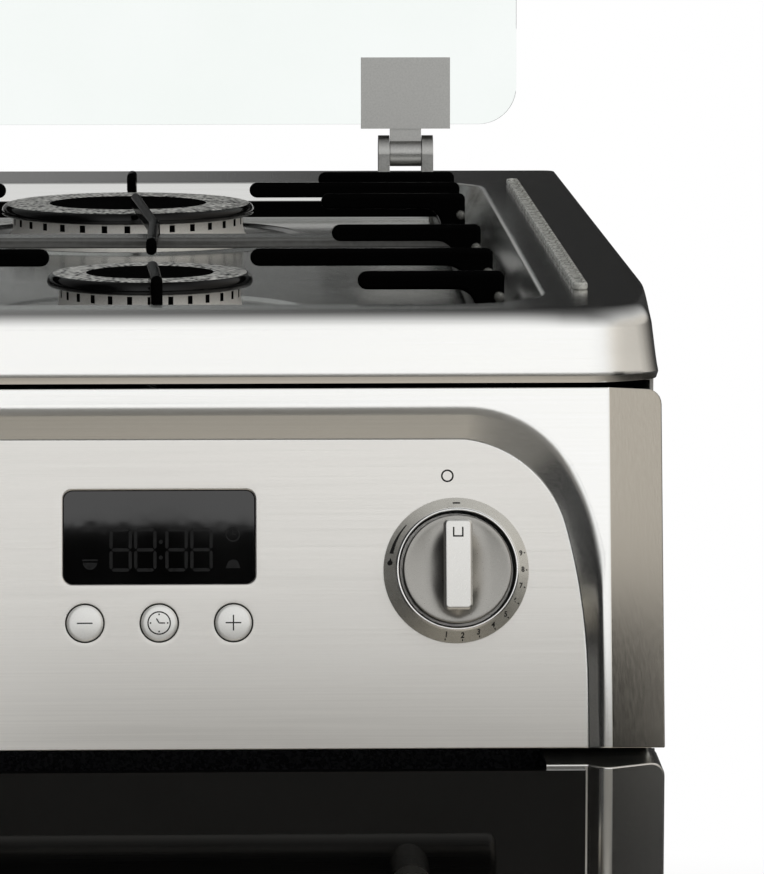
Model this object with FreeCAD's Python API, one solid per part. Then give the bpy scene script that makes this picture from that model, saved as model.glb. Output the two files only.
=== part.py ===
import FreeCAD, Part
import math
import os

V = FreeCAD.Vector
X_AXIS = V(1, 0, 0)
Y_AXIS = V(0, 1, 0)
Z_AXIS = V(0, 0, 1)

# Overall sizes of the cooker, in millimetres.
WIDTH = 600.0
BODY_DEPTH = 600.0
HANDLE_REACH = 45.0
HOB_HEIGHT = 900.0

# Sheet and pane thicknesses.
SHEET = 1.2
HOB_SHEET = 1.5
LINER_SHEET = 1.5
PANE = 4.0

# General clearances between pieces.
RUNNING_FIT = 0.05
LOOSE_FIT = 0.3
PANEL_HOLE_FIT = 0.4

# Pressed front: slanted cheeks at the outer edges, and a shallow recess with a sloping step.
CHEEK_WIDTH = 18.5
CHEEK_DEPTH = 9.0
RECESS_DEPTH = 5.0
MOUTH = {"margin": 7.1, "side": 21.4, "tight": 38.5, "turn": 60.7, "wide": 82.4}
FLOOR = {"margin": 16.6, "side": 25.8, "tight": 39.5, "turn": 75.0, "wide": 209.7}

# Hob top.
HOB_SETBACK = 25.0
HOB_SKIRT = 24.6
HOB_DRAFT = 1.0
HOB_EDGE = 6.0
HOB_FLANGE = 13.0
WELL_DEPTH = 17.0
WELL_TAPER = 8.0
WELL_SIDE = 38.0
WELL_FRONT = 20.0
WELL_REAR = 60.0
WELL_CORNER = 34.0
WELL_EDGE = 3.0

# Burners: place (across as a share of half the width), cap radius, crown radius and number of flame slots.
FRONT_BURNER_SHARE = 5 / 12
FRONT_BURNER_FROM_EDGE = 145.0
REAR_BURNER_SHARE = 0.36
REAR_BURNER_FROM_EDGE = 142.5
SEMI_CAP_R = 37.5
SEMI_CROWN_R = 33.0
SEMI_SLOTS = 28
RAPID_CAP_R = 54.0
RAPID_CROWN_R = 49.0
RAPID_SLOTS = 32
SIMMER_CAP_R = 27.5
SIMMER_CROWN_R = 23.0
SIMMER_SLOTS = 20
CROWN_HEIGHT = 10.2
CROWN_FLARE = 1.4
CROWN_WALL = 8.0
SLOT_WIDTH = 2.0
SLOT_HEIGHT = 3.0
CAP_THICKNESS = 5.0
CAP_EDGE = 2.2
CAP_DISH = 0.8
CAP_DISH_SHARE = 0.62
CUP_DEPTH = 20.0
CUP_WALL = 2.0
NIPPLE_R = 8.0
NIPPLE_LENGTH = 4.0
ELECTRODE_R = 3.0
ELECTRODE_TIP_R = 1.0
ELECTRODE_GAP = 4.0
ELECTRODE_ANGLE = 55.0

# Pan supports.
FINGER_WIDTH = 4.0
FINGER_HEIGHT = 6.5
FINGER_RISE = 6.5
RAIL_WIDTH = 6.0
RAIL_HEIGHT = 7.0
LEG_WIDTH = 10.0
SUPPORT_SIDE_GAP = 4.0
SUPPORT_INNER_X = 3.0
SUPPORT_FRONT_GAP = 19.5
SUPPORT_REAR_GAP = 8.5
FINGER_BEFORE_FRONT = 80.5
FINGER_AFTER_FRONT = 93.5
FINGER_BESIDE_REAR = 55.0
TIP_BEFORE_FRONT = 74.0
TIP_AT_FRONT = 36.5
TIP_AFTER_FRONT = 67.5
TIP_BESIDE_REAR = 82.0
TIP_AT_REAR = 52.0
FRONT_FINGER_ROOT = 5.0
FRONT_FINGER_TIP = 2.0
FRONT_FINGER_STOP = 42.0
REAR_FINGER_STOP = 48.0
CROSS_BAR_FORWARD = 26.0
CROSS_BAR_WIDTH = 18.0
CROSS_BAR_HEIGHT = 4.2
CROSS_ROOT = 7.0
CROSS_STOP_FRONT = 38.0
CROSS_STOP_REAR = 52.0
FOOT_PAD_R = 4.0
FOOT_PAD_HEIGHT = 3.0
BUFFER_R = 1.9
BUFFER_DROP = 9.0

# Lid and its hinges.
LID_SIDE_INSET = 20.0
LID_FRONT_INSET = 12.5
LID_PANE = 5.0
LID_AXIS_FROM_REAR = 37.5
LID_AXIS_HEIGHT = 11.0
LID_PANE_FROM_AXIS = 13.0
LID_LEAN = 3.0
LID_HINGE_INSET = 70.0
LID_PIN_R = 3.0
LID_BARREL_R = 6.0
LID_BARREL_LENGTH = 14.0
LID_EAR = 5.0
LID_LEAF_WIDTH = 40.0
LID_LEAF_LENGTH = 30.0
LID_LEAF_WALL = 2.0
STRIP_WIDTH = 6.4
STRIP_HEIGHT = 2.5
STRIP_INSET = 20.0
STRIP_FRONT_INSET = 60.5
STRIP_REAR_GAP = 37.0
LID_BUFFER_R = 3.0
LID_BUFFER_INSET = 12.0

# Control panel, measured down the tilted panel from its top edge.
PANEL_TILT = 12.0
PANEL_HEIGHT = 120.0
PANEL_GAP = 1.4
PANEL_RETURN = 28.0
CHEEK_FRONT = 14.0
CHEEK_END_GAP = 4.0
CHEEK_SLOT = 2.0
KNOB_DROP = 60.7
KNOB_INSET = 69.6
KNOB_TIMER_GAP = 81.9
KNOBS_LEFT_OF_TIMER = 5
BEZEL_BASE_R = 24.25
BEZEL_TOP_R = 19.0
BEZEL_BORE_R = 17.8
BEZEL_HEIGHT = 12.0
BEZEL_FOOT = 1.0
KNOB_R = 16.8
KNOB_LIFT = 3.0
KNOB_THICKNESS = 9.5
KNOB_EDGE = 0.8
GRIP_WIDTH = 9.3
GRIP_UP = 16.3
GRIP_DOWN = 12.7
GRIP_HEIGHT = 7.0
GRIP_EDGE = 1.5
DISH_R = 15.2
DISH_DEPTH = 2.5
SPINDLE_R = 3.0
SPINDLE_IN_KNOB = 6.0
SPINDLE_HOLE_R = 6.0

# Timer, on the panel.
TIMER_INSET = 168.5
WINDOW_DROP = 49.2
WINDOW_WIDTH = 63.4
WINDOW_HEIGHT = 30.8
WINDOW_CORNER = 3.0
WINDOW_FIT = 0.2
WINDOW_SINK = 0.4
WINDOW_PANE = 3.0
BUTTON_PITCH = 24.7
BUTTON_DROP = 77.8
BUTTON_R = 6.1
BUTTON_DOME = 1.5
BUTTON_BODY = 3.0
BUTTON_STEM_R = 2.5
BUTTON_STEM = 8.0
BUTTON_TRAVEL = 1.5
MODULE_WIDTH = 90.0
MODULE_TOP_DROP = 30.0
MODULE_BOTTOM_DROP = 90.0
MODULE_DEPTH = 25.0

# Gas taps, manifold and pipes, in depth behind the panel's face.
TAP_R = 11.0
TAP_FRONT = 16.0
TAP_LENGTH = 38.0
TAP_BORE = 16.0
TAP_OUTLET_R = 5.5
TAP_OUTLET = 5.0
TAP_OUTLET_DEPTH = 42.0
SADDLE_HALF = 8.0
MANIFOLD_R = 9.0
MANIFOLD_DEPTH = 46.0
MANIFOLD_OVERHANG = 15.0
PIPE_R = 4.0
PIPE_BEND = 10.0
PIPE_HOLE_R = 6.0
FRONT_PIPE_LEVEL = 51.0
REAR_PIPE_LEVEL = 40.0
MAIN_LANE_OUT = 8.0
MAIN_LANE_BACK = 100.0
GRILL_LANE_OUT = 28.0
GRILL_LANE_BACK = 70.0
GRILL_LANE_BEHIND = 18.0
SUPPLY_R = 7.5
SUPPLY_BEND = 20.0
SUPPLY_GAP = 3.0
INLET_NUT_R = 13.0
INLET_NUT_LENGTH = 24.0
INLET_THREAD_R = 10.4775
INLET_NECK_R = 10.0

# Case.
CASE_INSET = 2.0
CASE_BOTTOM = 28.0
CASE_FLANGE = 14.0
REAR_GAP = 12.0
TRAY_WALL = 30.0
FOOT_R = 20.0
FOOT_HEIGHT = 10.0
FOOT_STEM_R = 5.0
FOOT_INSET = 45.0
FOOT_STEM_ABOVE = 20.0
PLINTH_SETBACK = 14.0
PLINTH_BOTTOM = 20.0
PLINTH_TOP = 92.0
SCREW_HEAD_R = 4.0
SCREW_HEAD = 2.5
SCREW_R = 1.9
SCREW_LENGTH = 8.0
SCREWS_PER_SIDE = 6
SCREW_END_GAP = 40.0
VENT_ROWS = 5
VENT_PITCH = 12.0
VENT_WIDTH = 5.0
VENT_LENGTH = 120.0
VENT_TOP = 60.0

# Doors.
DOOR_GAP = 8.0
DOOR_DEPTH = 36.0
DOOR_PANEL_GAP = 6.6
MAIN_DOOR_HEIGHT = 394.0
SEAL_THICKNESS = 5.2
SEAL_WIDTH = 10.0
SEAL_MARGIN = 8.0
GLASS_FIT = 1.2
WINDOW_INSET = 120.0
INNER_PANE_LAP = 10.0
TOP_WINDOW_HEIGHT = 110.0
MAIN_WINDOW_HEIGHT = 220.0
HANDLE_R = 9.0
HANDLE_INSET = 55.0
HANDLE_DROP = 40.0
HANDLE_POST_R = 7.0
HANDLE_POST_INSET = 85.0
HINGE_INSET = 75.0
HINGE_BACK = 11.5
HINGE_UP = 7.0
HINGE_PIN_R = 2.5
HINGE_ARM = 4.0
HINGE_ARM_R = 4.6
HINGE_ARM_GAP = 1.0
HINGE_EAR = 3.0
HINGE_EAR_DEPTH = 15.0
HINGE_BRACKET = 32.0
HINGE_WEB_UP = 18.0

# Ovens.
CAVITY_SIDE_ROOM = 85.0
CAVITY_REAR_ROOM = 109.3
CAVITY_ABOVE_DOOR_FOOT = 30.0
CAVITY_BELOW_DOOR_TOP = 23.0
LINER_FLANGE = 12.0
INSULATION = 20.0
RUNNER_WIDTH = 12.0
RUNNER_THICKNESS = 3.0
RUNNER_FRONT_GAP = 34.8
RUNNER_REAR_GAP = 15.0
MAIN_RUNNERS = (60.0, 140.0, 220.0)
TOP_RUNNERS = (40.0, 100.0)
SHELF_WIRE_R = 2.5
SHELF_SIDE_GAP = 5.0
SHELF_FRONT_GAP = 44.8
SHELF_REAR_GAP = 20.0
SHELF_WIRES = 15
SHELF_CROSS_WIRE_R = 1.6
GRILL_PAN_SIDE_GAP = 38.0
GRILL_PAN_FRONT_INSET = 25.0
GRILL_PAN_REAR_INSET = 30.0
GRILL_PAN_HEIGHT = 32.0
BURNER_FEED_INSET = 83.0
GRILL_SIDE_GAP = 63.0
GRILL_DEPTH = 200.0
GRILL_REAR_GAP = 60.0
GRILL_THICKNESS = 16.0
GRILL_DROP = 8.0
GRILL_SLOTS = 9
GRILL_STRAP = 20.0
FEED_R = 8.0
FEED_END_GAP = 4.0
OVEN_BURNER_R = 10.0
OVEN_BURNER_SIDE_GAP = 53.0
OVEN_BURNER_REAR_GAP = 30.0
OVEN_BURNER_UP = 22.0
FLUE_HALF = 60.0
FLUE_HEIGHT = 18.0
FLUE_BELOW_ROOF = 12.0
DUCT_HALF = 90.0
DUCT_DEPTH = 47.3
DUCT_BELOW = 10.0
DUCT_TOP_GAP = 12.0

# Places worked out from the sizes above.
Y_REAR = (BODY_DEPTH + HANDLE_REACH) / 2
Y_FACE = Y_REAR - BODY_DEPTH
Y_HOB = Y_FACE + HOB_SETBACK
HALF = WIDTH / 2
CASE_HALF = HALF - CASE_INSET
SUPPLY_X = CASE_FLANGE + INLET_NUT_R + SUPPLY_GAP - CASE_HALF
HOB_LIP = HOB_HEIGHT - HOB_SKIRT
WELL_FLOOR = HOB_HEIGHT - WELL_DEPTH
FLOOR_UNDER = WELL_FLOOR - HOB_SHEET
PANEL_TOP = HOB_LIP - PANEL_GAP
PANEL_FOOT = PANEL_TOP - PANEL_HEIGHT * math.cos(math.radians(PANEL_TILT))
DOOR_BACK = Y_FACE + DOOR_DEPTH
FRAME_Y = DOOR_BACK + LOOSE_FIT + SEAL_THICKNESS
FRAME_BACK = FRAME_Y + SHEET
REAR_PANEL_BACK = Y_REAR - REAR_GAP
REAR_PANEL_Y = REAR_PANEL_BACK - SHEET
MAIN_DOOR_Z = PLINTH_TOP + DOOR_GAP
TOP_DOOR_Z = MAIN_DOOR_Z + MAIN_DOOR_HEIGHT + DOOR_GAP
TOP_DOOR_TOP = PANEL_FOOT - DOOR_PANEL_GAP
TOP_DOOR_HEIGHT = TOP_DOOR_TOP - TOP_DOOR_Z
WINDOW_HALF = HALF - WINDOW_INSET
HANDLE_HALF = HALF - HANDLE_INSET
HANDLE_POST_X = HALF - HANDLE_POST_INSET
HINGE_X = HALF - HINGE_INSET
CAVITY_HALF = CASE_HALF - CAVITY_SIDE_ROOM
CAVITY_REAR_Y = REAR_PANEL_Y - CAVITY_REAR_ROOM
CAVITIES = {
    "top": (TOP_DOOR_Z + CAVITY_ABOVE_DOOR_FOOT, TOP_DOOR_TOP - CAVITY_BELOW_DOOR_TOP),
    "main": (
        MAIN_DOOR_Z + CAVITY_ABOVE_DOOR_FOOT,
        MAIN_DOOR_Z + MAIN_DOOR_HEIGHT - CAVITY_BELOW_DOOR_TOP,
    ),
}
RUNNER_FRONT_Y = FRAME_BACK + RUNNER_FRONT_GAP
RUNNER_REAR_Y = CAVITY_REAR_Y - RUNNER_REAR_GAP
SHELF_HALF = CAVITY_HALF - SHELF_SIDE_GAP
SHELF_FRONT_Y = FRAME_BACK + SHELF_FRONT_GAP
SHELF_REAR_Y = CAVITY_REAR_Y - SHELF_REAR_GAP
GRILL_PAN_HALF = CAVITY_HALF - GRILL_PAN_SIDE_GAP
GRILL_PAN_FRONT_Y = SHELF_FRONT_Y + GRILL_PAN_FRONT_INSET
GRILL_PAN_REAR_Y = SHELF_REAR_Y - GRILL_PAN_REAR_INSET
BURNER_FEED_X = CAVITY_HALF - BURNER_FEED_INSET
GRILL_HALF = CAVITY_HALF - GRILL_SIDE_GAP
GRILL_REAR_Y = CAVITY_REAR_Y - GRILL_REAR_GAP
GRILL_FRONT_Y = GRILL_REAR_Y - GRILL_DEPTH
OVEN_BURNER_HALF = CAVITY_HALF - OVEN_BURNER_SIDE_GAP
OVEN_BURNER_Y = CAVITY_REAR_Y - OVEN_BURNER_REAR_GAP
DUCT_FRONT_Y = REAR_PANEL_Y - DUCT_DEPTH
GRILL_FEED_Z = CAVITIES["top"][1] - GRILL_DROP - GRILL_THICKNESS / 2
OVEN_FEED_Z = CAVITIES["main"][0] + OVEN_BURNER_UP
FEED_Z = {"top": GRILL_FEED_Z, "main": OVEN_FEED_Z}
NIPPLE_Z = FLOOR_UNDER - CUP_DEPTH - NIPPLE_LENGTH
CROWN_TOP = WELL_FLOOR + CROWN_HEIGHT
FINGER_Z = HOB_HEIGHT + FINGER_RISE - FINGER_HEIGHT
FINGER_TOP = FINGER_Z + FINGER_HEIGHT
RAIL_Z = WELL_FLOOR + FOOT_PAD_HEIGHT
SUPPORT_OUTER_X = HALF - WELL_SIDE - WELL_TAPER - SUPPORT_SIDE_GAP
SUPPORT_FRONT_Y = Y_HOB + WELL_FRONT + WELL_TAPER + SUPPORT_FRONT_GAP
SUPPORT_REAR_Y = Y_REAR - WELL_REAR - WELL_TAPER - SUPPORT_REAR_GAP
FRONT_BURNER_X = HALF * FRONT_BURNER_SHARE
FRONT_BURNER_Y = Y_HOB + FRONT_BURNER_FROM_EDGE
REAR_BURNER_X = HALF * REAR_BURNER_SHARE
REAR_BURNER_Y = Y_REAR - REAR_BURNER_FROM_EDGE
LID_AXIS_Y = Y_REAR - LID_AXIS_FROM_REAR
LID_AXIS_Z = HOB_HEIGHT + LID_AXIS_HEIGHT
LID_HALF = HALF - LID_SIDE_INSET
LID_FRONT_Y = Y_HOB + LID_FRONT_INSET
LID_REAR_Y = LID_AXIS_Y - LID_PANE_FROM_AXIS
LID_HINGE_X = HALF - LID_HINGE_INSET
STRIP_X = HALF - STRIP_INSET - STRIP_WIDTH / 2
STRIP_FRONT_Y = Y_HOB + STRIP_FRONT_INSET
STRIP_REAR_Y = LID_AXIS_Y - STRIP_REAR_GAP
LID_BUFFER_Y = STRIP_FRONT_Y + LID_BUFFER_INSET
TIMER_X = HALF - TIMER_INSET
BUTTON_X = (TIMER_X - BUTTON_PITCH, TIMER_X, TIMER_X + BUTTON_PITCH)
KNOB_END_X = HALF - KNOB_INSET
KNOB_PITCH = (TIMER_X - KNOB_TIMER_GAP + KNOB_END_X) / (KNOBS_LEFT_OF_TIMER - 1)
KNOB_X = {
    "knob_front_left": -KNOB_END_X,
    "knob_rear_left": -KNOB_END_X + KNOB_PITCH,
    "knob_rear_right": -KNOB_END_X + 2 * KNOB_PITCH,
    "knob_front_right": -KNOB_END_X + 3 * KNOB_PITCH,
    "knob_main_oven": -KNOB_END_X + 4 * KNOB_PITCH,
    "knob_top_oven_grill": KNOB_END_X,
}

SEMI = (SEMI_CAP_R, SEMI_CROWN_R, SEMI_SLOTS)
RAPID = (RAPID_CAP_R, RAPID_CROWN_R, RAPID_SLOTS)
SIMMER = (SIMMER_CAP_R, SIMMER_CROWN_R, SIMMER_SLOTS)
BURNERS = {
    "front_left": (-FRONT_BURNER_X, FRONT_BURNER_Y, SEMI),
    "rear_left": (-REAR_BURNER_X, REAR_BURNER_Y, SIMMER),
    "rear_right": (REAR_BURNER_X, REAR_BURNER_Y, RAPID),
    "front_right": (FRONT_BURNER_X, FRONT_BURNER_Y, SEMI),
}


# Small building blocks.
def box(x0, x1, y0, y1, z0, z1):
    return Part.makeBox(x1 - x0, y1 - y0, z1 - z0, V(x0, y0, z0))


def cylinder(start, axis, radius, length):
    return Part.makeCylinder(radius, length, start, axis)


def joined(shapes):
    """One solid made of shapes that meet."""
    first, rest = shapes[0], shapes[1:]
    return first.fuse(rest).removeSplitter() if rest else first


def group(shapes):
    return Part.makeCompound(shapes)


def mirrored(shape):
    """The same shape on the cooker's other side."""
    return shape.mirror(V(0, 0, 0), X_AXIS)


def turned(points):
    """A solid of revolution about Z from its half section of (radius, height) points."""
    section = [V(r, 0, z) for r, z in points]
    face = Part.Face(Part.makePolygon(section + section[:1]))
    return face.revolve(V(0, 0, 0), Z_AXIS, 360)


def plan_prism(points, z0, z1):
    """An upright prism over a plan outline of (x, y) points."""
    outline = [V(x, y, z0) for x, y in points]
    face = Part.Face(Part.makePolygon(outline + outline[:1]))
    return face.extrude(V(0, 0, z1 - z0))


def rounded_outline(half_x, y0, y1, corner, z):
    """A closed rectangle in plan with round corners."""
    edges = []
    bend = corner * (1 - math.sqrt(0.5))
    corners = ((half_x, y0, -1, 1), (half_x, y1, -1, -1), (-half_x, y1, 1, -1), (-half_x, y0, 1, 1))
    ends = []
    for i, (x, y, sx, sy) in enumerate(corners):
        along = V(x, y + sy * corner, z)
        across = V(x + sx * corner, y, z)
        start, end = (across, along) if i % 2 == 0 else (along, across)
        middle = V(x + sx * bend, y + sy * bend, z)
        edges.append(Part.Arc(start, middle, end).toShape())
        ends.append((start, end))
    for i in range(4):
        edges.append(Part.LineSegment(ends[i][1], ends[(i + 1) % 4][0]).toShape())
    return Part.Wire(Part.__sortEdges__(edges))


def bent_tube(points, bend, radius):
    """A solid rod along straight runs with a round bend at each inner point."""
    edges = []
    last = points[0]
    for before, corner, after in zip(points, points[1:], points[2:]):
        into = (corner - before).normalize()
        out = (after - corner).normalize()
        half_turn = into.getAngle(out) / 2
        reach = bend * math.tan(half_turn)
        start = corner - into * reach
        end = corner + out * reach
        inward = (out - into).normalize()
        middle = corner + inward * (bend / math.cos(half_turn) - bend)
        edges.append(Part.LineSegment(last, start).toShape())
        edges.append(Part.Arc(start, middle, end).toShape())
        last = end
    edges.append(Part.LineSegment(last, points[-1]).toShape())
    ring = Part.Wire(Part.makeCircle(radius, points[0], points[1] - points[0]))
    return Part.Wire(edges).makePipeShell([ring], True, False)


# Pressed fronts: shared by the control panel, both doors and the plinth.
def front_plan(inset, face_y, back_y):
    """Plan outline of a front with slanted cheeks, drawn in all round by inset."""
    lean = math.atan2(CHEEK_DEPTH, CHEEK_WIDTH)
    crease_x = HALF - CHEEK_WIDTH - inset * math.tan(lean / 2)
    edge_y = face_y + CHEEK_DEPTH + inset * math.tan((math.pi / 2 - lean) / 2)
    side = HALF - inset
    face = face_y + inset
    return [
        (-side, back_y),
        (-side, edge_y),
        (-crease_x, face),
        (crease_x, face),
        (side, edge_y),
        (side, back_y),
    ]


def front_shell(face_y, depth, z0, z1):
    """A folded sheet box with an open back: face, cheeks, sides, top and foot."""
    back_y = face_y + depth
    block = plan_prism(front_plan(0, face_y, back_y), z0, z1)
    inside = plan_prism(front_plan(SHEET, face_y, back_y + SHEET), z0 + SHEET, z1 - SHEET)
    return block.cut(inside)


def recess_outline(depth, grow, length, edge_z, way):
    """Outline of the recess at a depth: one closed end with two-radius corners, one open end."""
    share = depth / RECESS_DEPTH
    size = {k: MOUTH[k] + (FLOOR[k] - MOUTH[k]) * share for k in MOUTH}
    top = size["margin"] - grow
    side = HALF - size["side"] + grow
    tight = size["tight"] + grow
    wide = size["wide"] + grow
    turn = math.radians(size["turn"])

    def on_tight(angle):
        return start_x + tight * math.sin(angle), top + tight * (1 - math.cos(angle))

    def on_wide(angle):
        x, drop = on_tight(turn)
        x += wide * (math.sin(angle) - math.sin(turn))
        return x, drop + wide * (math.cos(turn) - math.cos(angle))

    start_x = side - tight * math.sin(turn) - wide * (1 - math.sin(turn))
    quarter = math.pi / 2
    right = [
        (start_x, top),
        on_tight(turn / 2),
        on_tight(turn),
        on_wide((turn + quarter) / 2),
        on_wide(quarter),
        (side, length),
    ]
    p = [V(x, depth, edge_z + way * drop) for x, drop in right]
    q = [V(-a.x, a.y, a.z) for a in p]
    edges = [
        Part.LineSegment(q[0], p[0]),
        Part.Arc(p[0], p[1], p[2]),
        Part.Arc(p[2], p[3], p[4]),
        Part.LineSegment(p[4], p[5]),
        Part.LineSegment(p[5], q[5]),
        Part.LineSegment(q[5], q[4]),
        Part.Arc(q[4], q[3], q[2]),
        Part.Arc(q[2], q[1], q[0]),
    ]
    return Part.Wire([e.toShape() for e in edges])


def recess(from_depth, to_depth, grow, length, edge_z, way):
    outlines = [recess_outline(d, grow, length, edge_z, way) for d in (from_depth, to_depth)]
    return Part.makeLoft(outlines, True, True)


def pressed(shell, length, edge_z, way, reach):
    """Press the recess into a shell whose face lies at y = 0, from its closed end to the other edge."""
    boss = recess(SHEET / 2, RECESS_DEPTH + SHEET, SHEET, length, edge_z, way)
    pocket = recess(-SHEET, RECESS_DEPTH, 0, length + reach, edge_z, way)
    return shell.fuse(boss).cut(pocket)


def straight_recess(from_depth, to_depth, grow, z0, z1):
    """A recess of the same section that runs out at both ends."""
    half = {}
    for depth in (from_depth, to_depth):
        inset = MOUTH["side"] + (FLOOR["side"] - MOUTH["side"]) * depth / RECESS_DEPTH
        half[depth] = HALF - inset + grow
    a, b = half[from_depth], half[to_depth]
    return plan_prism([(-a, from_depth), (a, from_depth), (b, to_depth), (-b, to_depth)], z0, z1)


# Control panel frame: x across, y into the cooker, z up from the panel's top edge, before tilting.
def on_panel(shape):
    placed = shape.copy()
    placed.rotate(V(0, 0, 0), X_AXIS, -PANEL_TILT)
    placed.translate(V(0, Y_HOB, PANEL_TOP))
    return placed


def panel_point(x, y, z):
    tilt = math.radians(-PANEL_TILT)
    across = y * math.cos(tilt) - z * math.sin(tilt)
    up = y * math.sin(tilt) + z * math.cos(tilt)
    return V(x, Y_HOB + across, PANEL_TOP + up)


def facing_out(shape, x, drop):
    """Stand a shape that points up Z on the recess floor, pointing out of the panel."""
    placed = shape.copy()
    placed.rotate(V(0, 0, 0), X_AXIS, 90)
    placed.translate(V(x, RECESS_DEPTH, -drop))
    return on_panel(placed)


def rounded_plate(width, height, corner, z0, z1):
    outline = rounded_outline(width / 2, -height / 2, height / 2, corner, z0)
    return Part.Face(outline).extrude(V(0, 0, z1 - z0))


def make_control_panel():
    shell = front_shell(0, PANEL_RETURN, -PANEL_HEIGHT, 0)
    slot = box(
        CASE_HALF - CHEEK_SLOT,
        CASE_HALF + PANEL_HOLE_FIT,
        CHEEK_FRONT - CHEEK_END_GAP,
        2 * PANEL_RETURN,
        -2 * PANEL_HEIGHT,
        PANEL_HEIGHT,
    )
    sheet = pressed(shell, PANEL_HEIGHT, 0, -1, SHEET)
    panel = on_panel(sheet.cut([slot, mirrored(slot)]))
    through = RECESS_DEPTH + SHEET
    cuts = [
        facing_out(
            rounded_plate(
                WINDOW_WIDTH + 2 * WINDOW_FIT,
                WINDOW_HEIGHT + 2 * WINDOW_FIT,
                WINDOW_CORNER + WINDOW_FIT,
                -through,
                through,
            ),
            TIMER_X,
            WINDOW_DROP,
        )
    ]
    for x in BUTTON_X:
        hole = cylinder(V(0, 0, -through), Z_AXIS, BUTTON_R + PANEL_HOLE_FIT, 2 * through)
        cuts.append(facing_out(hole, x, BUTTON_DROP))
    for x in KNOB_X.values():
        hole = cylinder(V(0, 0, -through), Z_AXIS, SPINDLE_HOLE_R, 2 * through)
        cuts.append(facing_out(hole, x, KNOB_DROP))
    return panel.cut(cuts)


def make_knob_bezels():
    ring = turned(
        [
            (BEZEL_BORE_R, 0),
            (BEZEL_BASE_R, 0),
            (BEZEL_BASE_R, BEZEL_FOOT),
            (BEZEL_TOP_R, BEZEL_HEIGHT),
            (BEZEL_BORE_R, BEZEL_HEIGHT),
        ]
    )
    return group([facing_out(ring, x, KNOB_DROP) for x in KNOB_X.values()])


def knob_shape():
    """A disc with a dished face and a raised grip bar across it, bored for its spindle."""
    face = KNOB_LIFT + KNOB_THICKNESS
    disc = turned(
        [
            (0, KNOB_LIFT),
            (KNOB_R, KNOB_LIFT),
            (KNOB_R, face - KNOB_EDGE),
            (KNOB_R - KNOB_EDGE, face),
            (0, face),
        ]
    )
    ball_r = (DISH_R**2 + DISH_DEPTH**2) / (2 * DISH_DEPTH)
    disc = disc.cut(Part.makeSphere(ball_r, V(0, 0, face + ball_r - DISH_DEPTH)))
    bar = box(
        -GRIP_WIDTH / 2,
        GRIP_WIDTH / 2,
        -GRIP_DOWN,
        GRIP_UP,
        KNOB_LIFT + KNOB_THICKNESS / 2,
        face + GRIP_HEIGHT,
    )
    top = [e for e in bar.Edges if e.BoundBox.ZMin > face]
    bar = bar.makeFillet(GRIP_EDGE, top)
    bore = cylinder(V(0, 0, 0), Z_AXIS, SPINDLE_R, KNOB_LIFT + SPINDLE_IN_KNOB)
    return joined([disc, bar]).cut(bore)


def spindle_shape():
    inner_end = RECESS_DEPTH - TAP_FRONT - TAP_BORE
    top = KNOB_LIFT + SPINDLE_IN_KNOB
    return cylinder(V(0, 0, inner_end), Z_AXIS, SPINDLE_R, top - inner_end)


def make_knobs():
    knob = knob_shape()
    spindle = spindle_shape()
    return {
        name: group([facing_out(knob, x, KNOB_DROP), facing_out(spindle, x, KNOB_DROP)])
        for name, x in KNOB_X.items()
    }


def make_timer_window():
    pane = rounded_plate(
        WINDOW_WIDTH, WINDOW_HEIGHT, WINDOW_CORNER, -WINDOW_SINK - WINDOW_PANE, -WINDOW_SINK
    )
    return facing_out(pane, TIMER_X, WINDOW_DROP)


def make_timer_module():
    front = WINDOW_SINK + WINDOW_PANE
    body = box(
        TIMER_X - MODULE_WIDTH / 2,
        TIMER_X + MODULE_WIDTH / 2,
        RECESS_DEPTH + front,
        RECESS_DEPTH + front + MODULE_DEPTH,
        -MODULE_BOTTOM_DROP,
        -MODULE_TOP_DROP,
    )
    pocket = BUTTON_BODY + BUTTON_STEM + 2 * BUTTON_TRAVEL
    wells = [
        cylinder(V(x, RECESS_DEPTH, -BUTTON_DROP), Y_AXIS, BUTTON_R + 2 * PANEL_HOLE_FIT, pocket)
        for x in BUTTON_X
    ]
    return on_panel(body.cut(wells))


def make_timer_buttons():
    names = ("timer_button_minus", "timer_button_clock", "timer_button_plus")
    dome_r = (BUTTON_R**2 + BUTTON_DOME**2) / (2 * BUTTON_DOME)
    ball = Part.makeSphere(dome_r, V(0, 0, BUTTON_DOME - dome_r))
    head = cylinder(V(0, 0, -BUTTON_BODY), Z_AXIS, BUTTON_R, BUTTON_BODY + BUTTON_DOME).common(ball)
    stem = cylinder(V(0, 0, -BUTTON_BODY - BUTTON_STEM), Z_AXIS, BUTTON_STEM_R, BUTTON_STEM)
    button = joined([head, stem])
    return {name: facing_out(button, x, BUTTON_DROP) for name, x in zip(names, BUTTON_X)}


# Gas taps, manifold and pipes.
def manifold_line(x0, x1):
    drop = KNOB_DROP + TAP_R + MANIFOLD_R
    return on_panel(cylinder(V(x0, MANIFOLD_DEPTH, -drop), X_AXIS, MANIFOLD_R, x1 - x0))


def manifold_span():
    places = KNOB_X.values()
    return min(places) - MANIFOLD_OVERHANG, max(places) + MANIFOLD_OVERHANG


def make_gas_manifold():
    return manifold_line(*manifold_span())


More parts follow.
